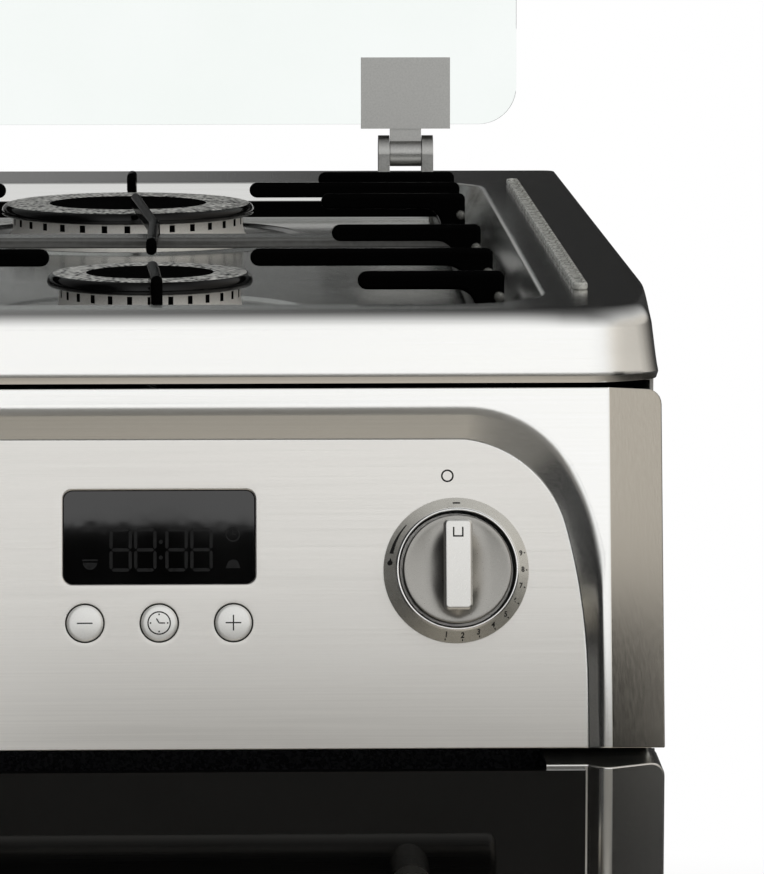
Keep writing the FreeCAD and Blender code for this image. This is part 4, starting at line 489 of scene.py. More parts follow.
# %% [markdown]
# The steels differ by how far they were polished. A rougher one blurs the studio into soft bands, and
# a smoother one mirrors its lights and darks.

# %% steels
LONG_X = (160, 1, 1)
LONG_Z = (1, 1, 60)
# Fine lines along the panel blur the studio, so that the floor of the recess looks soft and even.
brushed_steel = finish(
    "brushed stainless steel", ("#eae8e3", "#f3f1ec"), 1.0, (0.30, 0.40), 0.5, LONG_X, 0.003
)
# Lines that run down the slanted cheek, smoother and mirroring more clearly; its darker tone is painted
# shade.
shaded_cheek_steel = finish("cross brushed steel with painted shade", ("#d0cdc6", "#d8d5ce"), 1.0, (0.15, 0.19), 0.6, LONG_Z)
# Bright and smooth, so that the hob and the frames mirror the studio with only a faint blur.
satin_steel = finish("satin stainless steel", ("#f8f8f5", "#fdfdfb"), 1.0, (0.18, 0.24), 0.6, LONG_X, 0.001)
# A crisp bright line round the lip of each bezel.
polished_steel = finish("polished steel", ("#f4f4f2", "#fafaf8"), 1.0, (0.10, 0.14), 2.0)
# A grip that catches one soft highlight and shows no lines.
knob_steel = finish("satin knob steel", ("#eae9e5", "#f1f0ec"), 1.0, (0.27, 0.33), 0.4)
# Darker than the grip as painted shade, so that the grip stands out from the disc behind it.
shaded_disc_steel = finish("spun knob steel with painted shade", ("#a6a49f", "#b2b0ab"), 1.0, (0.27, 0.34), 0.4)
# Turned metal whose cone runs from light to dark with the studio round it.
bezel_steel = finish("turned bezel steel", ("#d8d7d2", "#e2e1dc"), 1.0, (0.24, 0.31), 0.4)
print("steels from", brushed_steel.name, "to", bezel_steel.name)

# %% [markdown]
# The timer's glass is smooth and gets only a slow waver, which bends its reflections a little. Ink and
# plastic are rougher, and their specular level is low where they should never shine.

# %% timer glass, plastic and ink
# Pale plastic with metal in it, brighter than steel and without its dark reflections.
button_silver = finish("silver button plastic", ("#f0f0ed", "#f6f6f3"), 0.5, (0.28, 0.36), 0.5)
# Deep black with a clear reflection that wavers slightly.
black_glass = finish(
    "black timer glass", ("#040404", "#070707"), 0.0, (0.02, 0.04), 24.0, relief=0.02, IOR=1.72
)
# Just lighter than the glass, so that unlit figures show only as ghosts.
ghost_segments = finish(
    "unlit display segments", ("#0a0a0a", "#0d0d0d"), 0.0, (0.1, 0.2), 1.0, Specular_IOR_Level=0.2
)
# Matt black print that stays black at any angle.
black_ink = finish(
    "black printing ink", ("#121211", "#1c1c1b"), 0.0, (0.45, 0.6), 0.3, Specular_IOR_Level=0.1
)
# Soft black with a fine texture, as mouldings and feet have.
black_plastic = finish("black moulded plastic", ("#101010", "#191919"), 0.0, (0.42, 0.55), 0.4, relief=0.01)
print("timer finishes from", button_silver.name, "to", black_plastic.name)

# %% [markdown]
# The hob's blacks are enamels that differ in shine. Light grains in a coarse noise without detail make
# the speckle on the burner caps, and the burner below them is bare cast metal with soot in its slots.

# %% enamels, burner metal and silicone
# Black that gives back almost no light, so that the bars stay dark against bright steel.
gloss_enamel = finish(
    "gloss black enamel on iron", ("#030303", "#060606"), 0.0, (0.08, 0.2), 0.5, relief=0.02,
    Specular_IOR_Level=0.002,
)
# A lighter black, a painted sheen that shows the broad top of the cross bar.
sheen_bar_enamel = finish("black enamel with painted sheen", ("#484846", "#525250"), 0.0, (0.12, 0.2), 2.0, relief=0.01)
# Smooth black with a dim shine on the cap's rounded edge.
cap_enamel = finish(
    "smooth black enamel", ("#040404", "#080808"), 0.0, (0.08, 0.16), 1.5, relief=0.01,
    Specular_IOR_Level=0.25,
)
# Coarse light grains in black, which make the ring on the cap sparkle.
speckled_enamel = finish(
    "speckled cap enamel", ("#101010", "#d8d8d4"), 0.2, (0.25, 0.6), 1.7, relief=0.2, detail=0.0
)
# Dull black that keeps the middle of a cap darker than its ring.
dish_enamel = finish(
    "dull black enamel", ("#050505", "#0a0a0a"), 0.0, (0.4, 0.55), 0.8, Specular_IOR_Level=0.0
)
# Near black on the slot walls: painted shade that makes the slots look deep.
slot_shade = finish("near black slot shade", ("#060505", "#0c0b0a"), 0.0, (0.8, 0.95), 0.5, Specular_IOR_Level=0.1)
# Pale and slightly rough, with the soft look of a casting.
cast_alloy = finish("cast burner alloy", ("#d8d6d1", "#e8e6e1"), 0.3, (0.36, 0.5), 0.5, relief=0.02)
# Milky and partly clear, so that the steel below shimmers through the strip.
clear_silicone = finish(
    "clear silicone", ("#b9b9b3", "#e4e4de"), 0.0, (0.2, 0.35), 3.0, relief=0.04, Transmission_Weight=0.3,
    IOR=1.41,
)
# Grey and half clear, so that the small buffers glow a little at their edges.
soft_grey = finish(
    "grey silicone buffer", ("#6f6f6b", "#85857f"), 0.0, (0.15, 0.3), 0.6, Transmission_Weight=0.5
)
print("hob finishes from", gloss_enamel.name, "to", soft_grey.name)

# %% [markdown]
# The rest of the cooker keeps its CAD meshes, and its finishes tell the pieces apart when a door opens
# or the cooker is seen from behind: glass, paint, zinc, wool, rubber, chrome and the gas metals.

# %% finishes of the case, doors, ovens and gas parts
# Clear, with a breath of green.
lid_glass = finish(
    "clear toughened glass", ("#f3f8f5", "#f6faf8"), 0.0, (0.0, 0.015), 60.0, Transmission_Weight=1.0, IOR=1.5
)
# Black with a clear reflection that hides the oven behind it.
door_glass = finish("black door glass", ("#060606", "#0a0a0a"), 0.0, (0.02, 0.05), 40.0, relief=0.01, IOR=1.5)
# Lines along the handle, a little darker than the fronts.
handle_steel = finish("brushed handle steel", ("#c4c2bc", "#d0cec8"), 1.0, (0.26, 0.36), 0.4, LONG_X, 0.003)
# Dark and glassy with fine speckles.
oven_enamel = finish("speckled oven enamel", ("#17181a", "#2b2d31"), 0.0, (0.2, 0.34), 1.2, relief=0.01)
# An even grey with a slight metal sheen, plainer than steel.
silver_paint = finish("silver case paint", ("#a9a8a4", "#b2b1ad"), 0.3, (0.42, 0.52), 0.6, relief=0.01)
# Dull grey with the cloudy patches of zinc.
zinc_steel = finish("zinc coated steel", ("#8f9291", "#a9acab"), 0.5, (0.38, 0.55), 9.0)
# Matt straw yellow with soft fibres.
mineral_wool = finish("mineral wool", ("#b8a878", "#d0c294"), 0.0, (0.85, 0.95), 3.0, (1, 4, 1), 0.8)
# Matt black without reflections.
black_rubber = finish("black rubber", ("#131313", "#1e1e1d"), 0.0, (0.6, 0.75), 0.5, relief=0.02)
# Bright wire with sharp highlights.
chrome_wire = finish("chromed wire", ("#d2d3d3", "#dddede"), 1.0, (0.08, 0.16), 2.0)
# Plain steel with the broken shine of a stamped part.
hinge_steel = finish("bright hinge steel", ("#aeaeab", "#bfbfbc"), 1.0, (0.28, 0.4), 0.8)
# Pale grey, duller than stainless steel.
aluminised = finish("aluminised steel", ("#a7a7a3", "#b9b9b5"), 0.9, (0.36, 0.5), 4.0)
# Grey pipe with a soft shine along it.
gas_steel = finish("plated gas pipe", ("#a2a29c", "#b4b4ae"), 0.95, (0.3, 0.45), 3.0)
# Warm yellow among the greys.
tap_brass = finish("turned brass", ("#b08d4c", "#c3a25f"), 1.0, (0.25, 0.38), 1.5)
# Cool pale metal, lighter than the steel pipe.
pipe_aluminium = finish("aluminium pipe", ("#b9bbbb", "#c8caca"), 1.0, (0.3, 0.42), 2.0)
# Glazed white with a small clear highlight.
white_ceramic = finish("white ceramic", ("#e2dfd6", "#ece9e1"), 0.0, (0.2, 0.3), 1.0)
# Black that a mirror shows as plain dark.
black_velvet = finish("black velvet", ("#010101", "#020202"), 0.0, (0.95, 1.0), 1.0)
# A matt pale grey, softer than the white sky.
pale_card = finish("pale studio card", ("#dcdad6", "#e4e2de"), 0.0, (0.9, 1.0), 4.0)
print("other finishes from", lid_glass.name, "to", pale_card.name)

# %% [markdown]
# Each CAD node carries the name of its material, so a table from that name to a finish dresses them all
# at once. The flags and cards get theirs here too.

# %% finishes on the CAD nodes
finishes = {
    "brushed_stainless": brushed_steel,
    "satin_stainless": satin_steel,
    "knob_metal": knob_steel,
    "bezel_metal": bezel_steel,
    "button_metal": button_silver,
    "timer_glass": black_glass,
    "timer_plastic": black_plastic,
    "black_enamel_iron": gloss_enamel,
    "black_enamel_steel": cap_enamel,
    "burner_alloy": cast_alloy,
    "electrode_ceramic": white_ceramic,
    "silicone_strip": clear_silicone,
    "buffer_silicone": soft_grey,
    "lid_pane": lid_glass,
    "hinge_steel": hinge_steel,
    "black_rubber": black_rubber,
    "black_door_glass": door_glass,
    "handle_steel": handle_steel,
    "oven_enamel": oven_enamel,
    "case_paint": silver_paint,
    "zinc_steel": zinc_steel,
    "mineral_wool": mineral_wool,
    "chrome_wire": chrome_wire,
    "aluminised_steel": aluminised,
    "gas_steel": gas_steel,
    "tap_brass": tap_brass,
    "pipe_aluminium": pipe_aluminium,
    "foot_plastic": black_plastic,
}
for flag in flags[:2]:
    flag.data.materials.append(black_velvet)
for card in flags[2:]:
    card.data.materials.append(pale_card)
for node in nodes.values():
    for place in node.material_slots:
        place.material = finishes[place.material.name]
print(len(finishes), "finishes on the CAD nodes")

# %% [markdown]
# The hob is one pressing. Rings run round it from the turned-under lip, up the skirt, over the
# rounded edge and the rim, and down the wall of the well; the last ring is closed as its floor. At the
# front corners, where the front folds back into a slanted cheek, the rings lean in further and ease out
# again along the sides, so that the corner rolls softly.

# %% hob top
ROOT = "cooker_body"
low_corner, high_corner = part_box("hob_top")
HOB_HALF = high_corner[0] / MM
HOB_FRONT = low_corner[1] / MM
HOB_REAR = high_corner[1] / MM
HOB_LIP = low_corner[2] / MM
HOB_TOP = high_corner[2] / MM
CHEEK_WIDTH = 18.5
CHEEK_DEPTH = 9.0
HOB_EDGE = 8.0
SIDE_EDGE = 0.7
CORNER_EDGE = 6.0
CREASE_EDGE = 13.0
CORNER_REACH = 24.0
EASE_LENGTH = 66.0
CORNER_SETBACK = 0.3
CORNER_ROUNDS = (9.0, 7.0, 7.0, 22.0, 6.0)
WELL_SIDE = 38.0
WELL_FRONT = 20.0
WELL_REAR = 60.0
WELL_CORNER = 34.0
WELL_DEPTH = 17.0
WELL_FLOOR = HOB_TOP - WELL_DEPTH
CORNER_STEPS = 6
EDGE_STEPS = 14
SHEET = 1.2
first_turn = math.tan(math.atan2(CHEEK_DEPTH, CHEEK_WIDTH) / 2)
second_turn = math.tan(math.atan2(CHEEK_WIDTH, CHEEK_DEPTH) / 2)


def whole_ring(half):
    """A ring from its right half, front middle to rear middle, ending on its first point."""
    left = [(-x, y, z) for x, y, z in reversed(half)]
    return half + left[1:]


def outer_ring(front_inset, side_inset, corner_inset, crease_inset, z):
    """A ring round the outside. The front corners lean in further, and ease back into the sides."""
    front, rear = HOB_FRONT + front_inset, HOB_REAR - side_inset
    cheek_end = HOB_FRONT + CHEEK_DEPTH + crease_inset * second_turn + corner_inset * CORNER_SETBACK
    corners = [
        Vector((0, front)),
        Vector((HOB_HALF - CHEEK_WIDTH - CORNER_REACH, front)),
        Vector((HOB_HALF - CHEEK_WIDTH - crease_inset * first_turn, HOB_FRONT + crease_inset)),
        Vector((HOB_HALF - corner_inset, cheek_end)),
        Vector((HOB_HALF - side_inset, HOB_FRONT + EASE_LENGTH)),
        Vector((HOB_HALF - side_inset, rear)),
        Vector((0, rear)),
    ]
    line = rounded(corners, CORNER_ROUNDS, CORNER_STEPS)
    return whole_ring([(spot.x, spot.y, z) for spot in line])


def well_ring(draw, z):
    """A ring round the well, drawn inwards, with as many points as an outer ring."""
    radius = WELL_CORNER - draw
    x = HOB_HALF - WELL_SIDE - WELL_CORNER
    front, rear = HOB_FRONT + WELL_FRONT + WELL_CORNER, HOB_REAR - WELL_REAR - WELL_CORNER
    half = [(0, front - radius, z)]
    count = 4 * CORNER_STEPS + 3
    for k in range(count + 1):
        angle = math.radians(90 * k / count)
        half.append((x + radius * math.sin(angle), front - radius * math.cos(angle), z))
    for k in range(CORNER_STEPS + 1):
        angle = math.radians(90 * k / CORNER_STEPS)
        half.append((x + radius * math.cos(angle), rear + radius * math.sin(angle), z))
    half.append((0, rear + radius, z))
    return whole_ring(half)


def thicken(made):
    """Give the sheet in edit mode its thickness on the inside."""
    bpy.ops.mesh.select_all(action="SELECT")
    bpy.ops.mesh.normals_make_consistent(inside=False)
    bpy.ops.object.mode_set(mode="OBJECT")
    bpy.ops.object.modifier_add(type="SOLIDIFY")
    made.modifiers[0].thickness = SHEET * MM
    made.modifiers[0].offset = -1
    bpy.ops.object.modifier_apply(modifier=made.modifiers[0].name)


# Front, side and corner inset and rise of the rings from the turned-under lip to the foot of the edge.
SKIRT = (
    (13.0, 13.0, 13.0, 0.0), (1.3, 1.3, 1.5, 0.0), (0.95, 0.95, 1.2, 0.1),
    (0.8, 0.8, 1.1, 0.45), (0.15, 0.15, 0.6, 2.2), (0.03, 0.03, 0.7, 2.9),
    (0.1, 0.02, 1.0, 4.0), (0.5, 0.1, 1.5, 7.0), (0.95, 0.15, 2.0, 10.5),
)
# Draw and drop of the rings over the well's edge, down its wall and round into its floor.
WELL_WALL = (
    (-1.7, 0.0), (-0.9, 0.12), (-0.25, 0.45), (0.25, 1.1), (6.2, 13.0),
    (7.2, 14.8), (8.6, 16.2), (10.6, 16.9), (12.0, WELL_DEPTH),
)
LEAN = 8.0
FACE_INSET, SIDE_INSET, CORNER_INSET, CREASE_INSET = 1.75, 0.2, 3.0, 1.75
rows = [outer_ring(*insets, insets[0], HOB_LIP + rise) for *insets, rise in SKIRT]
for k in range(EDGE_STEPS + 1):
    angle = math.radians(LEAN + (90 - LEAN) * k / EDGE_STEPS)
    fall = math.cos(math.radians(LEAN)) - math.cos(angle)
    sink = 1 - math.sin(angle)
    ring = outer_ring(
        FACE_INSET + HOB_EDGE * fall,
        SIDE_INSET + SIDE_EDGE * fall,
        CORNER_INSET + CORNER_EDGE * fall,
        CREASE_INSET + CREASE_EDGE * fall,
        HOB_TOP - HOB_EDGE * sink,
    )
    rows.append(ring)
rows += [well_ring(draw, HOB_TOP - drop) for draw, drop in WELL_WALL]
hob = skin(rows, closed=True)
choose("EDGE", lambda x, y, z: abs(z - WELL_FLOOR) < NEAR)
bpy.ops.mesh.edge_face_add()
thicken(hob)
print("hob of", len(rows), "rings of", len(rows[0]), "points")

# %% [markdown]
# Round each burner the floor is pressed up into a low ridge that keeps a spill away from the flame. A
# ridge is turned on its own and joined to the hob, which is simpler than bending the floor and looks
# the same.

# %% burner ridges
FRONT_X, FRONT_Y = 125.0, -107.5
REAR_X, REAR_Y = 108.0, 180.0
# Place, cap radius, crown radius and number of flame slots.
BURNERS = {
    "front_right": (FRONT_X, FRONT_Y, 37.5, 33.0, 28),
    "front_left": (-FRONT_X, FRONT_Y, 37.5, 33.0, 28),
    "rear_right": (REAR_X, REAR_Y, 54.0, 49.0, 32),
    "rear_left": (-REAR_X, REAR_Y, 27.5, 23.0, 20),
}
RIDGE_GAP = 20.5
RIDGE = ((-5.0, -0.3), (-3.2, 0.2), (-1.4, 0.9), (0.0, 1.1), (1.4, 0.9), (3.2, 0.2), (5.0, -0.3))
parts = [hob]
for x, y, cap_r, crown_r, slots in BURNERS.values():
    middle = cap_r + RIDGE_GAP
    ridge = lathe([(middle + dr, dz) for dr, dz in RIDGE + RIDGE[:1]], 120)
    bpy.ops.object.mode_set(mode="OBJECT")
    parts.append(put(ridge, Matrix.Translation(Vector((x, y, WELL_FLOOR)) * MM)))
done(join(parts), "hob_pressing", ROOT, satin_steel, ["hob_top"])

# %% [markdown]
# A burner crown is turned, and then every fourth face of its top band is pushed in to open a flame
# slot, whose walls are coated near black as a painted shade. The cap on it is a low dome with a
# shallow dish, and three enamels share it: smooth on the edge, speckled on the flat ring and dull in the
# dish.

# %% burners
CROWN_HEIGHT = 10.2
CROWN_WALL = 8.0
CROWN_FOOT = 1.4
CROWN_LIP = 0.8
SLOT_HEIGHT = 3.0
SLOT_DEPTH = 6.0
SLOT_PLAY = 0.01
CAP_DISH = 0.62
for name, (x, y, cap_r, crown_r, slots) in BURNERS.items():
    place = Matrix.Translation(Vector((x, y, WELL_FLOOR)) * MM)
    foot, bore = crown_r + CROWN_FOOT, crown_r - CROWN_WALL
    high = CROWN_HEIGHT - CROWN_LIP
    low = high - SLOT_HEIGHT
    crown = lathe(
        [(bore, 0), (foot, 0), (foot, 1.6), (crown_r + 0.8, 2.2), (crown_r + 0.3, 4.2), (crown_r, low - 0.2),
         (crown_r, low), (crown_r, high), (crown_r, CROWN_HEIGHT), (bore, CROWN_HEIGHT), (bore, 0)],
        slots * 4,
    )
    pitch = math.tau / slots
    choose("FACE", lambda x, y, z: low - LOOSE < z < high + LOOSE and math.hypot(x, y) > crown_r - LOOSE
           and (math.atan2(y, x) + SLOT_PLAY) % pitch < pitch / 4 + 2 * SLOT_PLAY)
    bpy.ops.mesh.extrude_region_shrink_fatten(TRANSFORM_OT_shrink_fatten={"value": -SLOT_DEPTH * MM})
    crown.data.materials.append(cast_alloy)
    crown.data.materials.append(slot_shade)
    # The slot walls and floors get the near-black painted shade.
    choose("FACE", lambda x, y, z: low - LOOSE < z < high + LOOSE and math.hypot(x, y) > bore + LOOSE)
    mesh = bmesh.from_edit_mesh(crown.data)
    for face in mesh.faces:
        if min(corner.co.xy.length for corner in face.verts) > (crown_r - LOOSE) * MM:
            face.select_set(False)
    crown.active_material_index = 1
    bpy.ops.object.material_slot_assign()
    bpy.ops.object.mode_set(mode="OBJECT")
    put(crown, place)
    done(crown, "burner_crown_" + name, ROOT, cast_alloy,
         ["burner_crowns"] if name == "front_right" else [])
    dish = cap_r * CAP_DISH
    cap = lathe(
        [(0, 0), (cap_r - 1.6, 0), (cap_r - 0.7, 0.2), (cap_r - 0.2, 0.7), (cap_r, 1.5), (cap_r - 0.1, 2.4),
         (cap_r - 0.5, 3.3), (cap_r - 1.2, 4.1), (cap_r - 2.2, 4.65), (cap_r - 3.2, 4.85), (cap_r - 5, 4.95),
         (dish + 3, 5.0), (dish + 1.2, 4.95), (dish, 4.75), (dish - 1.5, 4.3), (dish - 3.5, 4.05),
         (dish * 0.4, 3.9), (0, 3.85)],
        112,
    )
    for enamel in (cap_enamel, speckled_enamel, dish_enamel):
        cap.data.materials.append(enamel)
    coat(cap, 1, lambda x, y, z: z > 4.6 and dish - LOOSE < math.hypot(x, y) < cap_r - 1.9)
    coat(cap, 2, lambda x, y, z: z > 3.7 and math.hypot(x, y) < dish + LOOSE)
    bpy.ops.object.mode_set(mode="OBJECT")
    put(cap, place @ Matrix.Translation(Vector((0, 0, CROWN_HEIGHT * MM))))
    done(cap, "burner_cap_" + name, ROOT, cap_enamel,
         ["burner_caps"] if name == "front_right" else [])

# %% [markdown]
# A pan support is a welded frame of square bars. Each finger is drawn in side view, with its rounded
# nose and its leg, and given its thickness. A broad cross bar ties the fingers together in the middle,
# and it gets a lighter enamel, a painted sheen for the light that its flat top mirrors. The right
# support is built and the left one mirrors it.

# %% pan supports
FINGER_Z = 900.0
FINGER_TOP = 906.5
RAIL_Z = 886.0
RAIL_TOP = 893.0
BAR_HALF = 3.0
FINGER_HALF = 2.0
FINGER_EDGE = 1.8
LEG = 10.0
LEG_ROUND = 7.0
ROOT_ROUND = 2.6
FOOT_Z = RAIL_Z + 2.0


def arc(cx, cz, radius, start, stop, count):
    """Points along an arc, from one angle to another."""
    angles = [math.radians(start + (stop - start) * k / count) for k in range(count + 1)]
    return [(cx + radius * math.cos(a), cz + radius * math.sin(a)) for a in angles]


def finger_outline(length, leg=True):
    """A finger's side view from its root to its nose, going round anticlockwise."""
    nose = (FINGER_TOP - FINGER_Z) / 2
    middle = (FINGER_TOP + FINGER_Z) / 2
    upper = arc(ROOT_ROUND, FINGER_TOP - ROOT_ROUND, ROOT_ROUND, 180, 90, 5)
    tip = arc(length - nose, middle, nose, 90, -90, 10)
    if leg:
        under = arc(LEG + LEG_ROUND, FINGER_Z - LEG_ROUND, LEG_ROUND, 90, 180, 6)
        foot = [(LEG, FOOT_Z), (0, FOOT_Z)]
    else:
        under = [(BAR_HALF, FINGER_Z)]
        foot = [(0, FINGER_Z)]
    return (upper + tip + under + foot)[::-1]


def finger(root, tip, leg=True):
    """One finger between two points in plan."""
    start, end = Vector(root), Vector(tip)
    along = (end - start).normalized()
    across = Vector((-along.y, along.x))

    def place(a, b, depth):
        spot = start + along * a + across * depth
        return (spot.x, spot.y, b)

    made = slab(finger_outline((end - start).length, leg), place, FINGER_HALF, FINGER_EDGE, 6)
    bpy.ops.object.mode_set(mode="OBJECT")
    return made


def bar(x0, x1, y0, y1, z0, z1, edge=1.3):
    """A straight bar with rounded edges."""
    clear_selection()
    bpy.ops.mesh.primitive_cube_add(
        size=1,
        location=Vector((x0 + x1, y0 + y1, z0 + z1)) * MM / 2,
        scale=Vector((x1 - x0, y1 - y0, z1 - z0)) * MM,
    )
    made = bpy.context.object
    bpy.ops.object.transform_apply(location=True, rotation=True, scale=True)
    bpy.ops.object.mode_set(mode="EDIT")
    bpy.ops.mesh.select_all(action="SELECT")
    bpy.ops.mesh.bevel(offset=edge * MM, segments=4, affect="EDGES")
    bpy.ops.object.mode_set(mode="OBJECT")
    return made


OUTER, INNER = 250.0, 3.0
FIRST, LAST = -205.0, 246.0
# Each pair of fingers: its place, the middle of its burner, and how far from there it stops.
LINES = ((-188.0, FRONT_X, 74.0), (FRONT_Y, FRONT_X, 36.5), (-14.0, FRONT_X, 67.5),
         (125.0, REAR_X, 82.0), (REAR_Y, REAR_X, 52.0), (235.0, REAR_X, 82.0))
CROSS_Y = 10.25
CROSS_HALF = 9.0
CROSS_THICKNESS = 4.2
CROSS_LAP = 7.0
parts = []
for y, centre, reach in LINES:
    parts.append(finger((OUTER, y), (centre + reach, y)))
    parts.append(finger((INNER, y), (centre - reach, y)))
parts.append(finger((130.0, FIRST), (127.0, -149.5)))
parts.append(finger((REAR_X, LAST), (REAR_X, 228.0)))
cross_root = Vector((123.5, CROSS_Y))
for centre, stop in ((Vector((FRONT_X, FRONT_Y)), 38.0), (Vector((REAR_X, REAR_Y)), 52.0)):
    along = (centre - cross_root).normalized()
    parts.append(finger(cross_root - along * CROSS_LAP, centre - along * stop, leg=False))
RAILS = (INNER + LEG - BAR_HALF, OUTER - LEG + BAR_HALF)
SIDES = (RAILS[0] - BAR_HALF, RAILS[1] + BAR_HALF)
POST = (CROSS_Y - BAR_HALF, CROSS_Y + BAR_HALF, RAIL_Z + 1, FINGER_Z - 1)
for x in RAILS:
    parts.append(bar(x - BAR_HALF, x + BAR_HALF, FIRST, LAST, RAIL_Z, RAIL_TOP))
    parts.append(bar(x - BAR_HALF, x + BAR_HALF, *POST))
for y in (FIRST, LAST - 2 * BAR_HALF):
    parts.append(bar(*SIDES, y, y + 2 * BAR_HALF, RAIL_Z, RAIL_TOP))
cross_z = FINGER_Z - CROSS_THICKNESS
parts.append(bar(*SIDES, CROSS_Y - CROSS_HALF, CROSS_Y + CROSS_HALF, cross_z, FINGER_Z))
right = join(parts)
right.data.materials.append(gloss_enamel)
right.data.materials.append(sheen_bar_enamel)
bpy.ops.object.mode_set(mode="EDIT")
# The cross bar gets the lighter enamel, a painted sheen.
coat(right, 1, lambda x, y, z: cross_z - LOOSE < z < FINGER_Z + LOOSE
     and abs(y - CROSS_Y) < CROSS_HALF + LOOSE)
bpy.ops.object.mode_set(mode="OBJECT")
for side, bars in (("right", right), ("left", mirrored(right))):
    body = side + "_pan_support"
    done(bars, body + "_bars", body, gloss_enamel, ["pan_support_" + side])

# %% [markdown]
# Small silicone buffers stand under the corners of the frame and on the legs, where they keep the
# support from ringing on the steel. A pad is turned, and a dome is a sphere half sunk in its leg.

# %% support buffers
DOME_R = 1.9
DOME_Z = 897.5
PAD = ((0, 0), (3.4, 0), (4.0, 0.6), (4.0, 3.2), (0, 3.2))
parts = []
for x, y in [(x, y) for x in RAILS for y in (FIRST + BAR_HALF, LAST - BAR_HALF)]:
    pad = lathe(PAD, 32)
    bpy.ops.object.mode_set(mode="OBJECT")
    parts.append(put(pad, Matrix.Translation(Vector((x, y, WELL_FLOOR)) * MM)))
for y, centre, reach in LINES:
    for x in (INNER + DOME_R, OUTER - DOME_R):
        clear_selection()
        spot = Vector((x, y - FINGER_HALF, DOME_Z)) * MM
        bpy.ops.mesh.primitive_uv_sphere_add(segments=24, ring_count=16, radius=DOME_R * MM, location=spot)
        parts.append(bpy.context.object)
        bpy.ops.object.transform_apply(location=True, rotation=True, scale=True)
right = join(parts)
for side, pads in (("right", right), ("left", mirrored(right))):
    body = side + "_pan_support"
    done(pads, side + "_support_silicone", body, soft_grey, ["support_buffers_" + side])

# %% [markdown]
# Two clear strips lie on the rim for the glass lid to rest on. A strip starts as a bar with round
# ends; its top is inset and sunk, which leaves a bright raised edge round a darker channel.

# %% lid rest strips
STRIP_X, STRIP_HALF = 276.2, 2.6
STRIP_FIRST, STRIP_LAST = -192.0, 248.0
STRIP_HEIGHT = 2.5
STRIP_EDGE = 0.7
STRIP_RIM = 0.6
CHANNEL_SLOPE, CHANNEL_DEPTH = 0.3, 0.9
ends = arc(0, STRIP_LAST - STRIP_HALF, STRIP_HALF, 0, 180, 12)
ends += arc(0, STRIP_FIRST + STRIP_HALF, STRIP_HALF, 180, 360, 12)
middle = HOB_TOP + STRIP_HEIGHT / 2
strip = slab(ends, lambda a, b, depth: (STRIP_X + a, b, middle + depth), STRIP_HEIGHT / 2, STRIP_EDGE)
choose("FACE", lambda x, y, z: z > HOB_TOP + STRIP_HEIGHT - NEAR)
bpy.ops.mesh.inset(thickness=STRIP_RIM * MM)
bpy.ops.mesh.inset(thickness=CHANNEL_SLOPE * MM, depth=-CHANNEL_DEPTH * MM)
bpy.ops.object.mode_set(mode="OBJECT")
strip_left = mirrored(strip)
done(strip, "lid_rest_strip_right", ROOT, clear_silicone, ["lid_rest_strips"])
done(strip_left, "lid_rest_strip_left", ROOT, clear_silicone)

# %% [markdown]
# The control panel and both doors carry one pressed recess that runs down the front. Across its edge
# the section is frame, step and floor; this section is carried along the recess outline as a skin, and
# the frame's edges are then extruded back into the cheeks and flanges. Each front is drawn lying in a
# frame of its own, with its face at zero depth and its top edge at zero height, and put up afterwards.

# %% pressed fronts
MOUTH = {"margin": 7.1, "side": 21.4, "tight": 38.5, "turn": 60.7, "wide": 82.4}
FLOOR = {"margin": 16.6, "side": 25.8, "tight": 39.5, "turn": 75.0, "wide": 209.7}
RECESS_DEPTH = 5.0
FLOOR_MARGIN = 14.0
CREASE = HOB_HALF - CHEEK_WIDTH
MOUTH_ROUND = 2.4
FLOOR_ROUND = 0.5
FRONT_EDGE = 0.8
FLANGE_EDGE = 0.7
SHARP = 40
CORNER_ROUND = 5.0
SIDE_STEPS = 8
FINE_COUNTS = (90, 90, 90)


def recess_line(size, length, counts=(14, 14, 8)):
    """The right half of a recess outline, from its middle to the open end, as pairs of across and down."""
    turn = math.radians(size["turn"])
    tight, wide, margin = size["tight"], size["wide"], size["margin"]
    side = HOB_HALF - size["side"]
    x = side - tight * math.sin(turn) - wide * (1 - math.sin(turn))
    line = [Vector((0, margin))]
    for k in range(counts[0] + 1):
        a = turn * k / counts[0]
        line.append(Vector((x + tight * math.sin(a), margin + tight * (1 - math.cos(a)))))
    bend = line[-1]
    for k in range(1, counts[1] + 1):
        a = turn + (math.pi / 2 - turn) * k / counts[1]
        line.append(bend + wide * Vector((math.sin(a) - math.sin(turn), math.cos(turn) - math.cos(a))))
    start, end = line[-1], Vector((side, length))
    return line + [start.lerp(end, k / counts[2]) for k in range(1, counts[2] + 1)]


def frame_line(mouth, length):
    """Points on the frame's edge to match a recess outline: along the top, then down the crease."""
    corner = len(mouth) * 2 // 5
    top = [Vector((point.x, 0)) for point in mouth[:corner]]
    last = len(mouth) - 1 - corner
    return top + [Vector((CREASE, length * k / last)) for k in range(last + 1)]


def side_line(inset, length):
    """Points down the side of a front whose recess runs straight through."""
    return [Vector((HOB_HALF - inset, length * k / SIDE_STEPS)) for k in range(SIDE_STEPS + 1)]


def section(outer, mouth, base, inward, side):
    """Frame, step and floor at one place along the outline, with the step's corners rounded."""
    depths = ((outer, 0), (mouth, 0), (base, RECESS_DEPTH), (inward, RECESS_DEPTH))
    corners = [Vector((side * p.x, depth, -p.y)) for p, depth in depths]
    step = (base - mouth).length
    reaches = (min(MOUTH_ROUND, (mouth - outer).length - FRONT_EDGE - 0.2), min(FLOOR_ROUND, step * 0.55))
    return rounded(corners, reaches, 6)


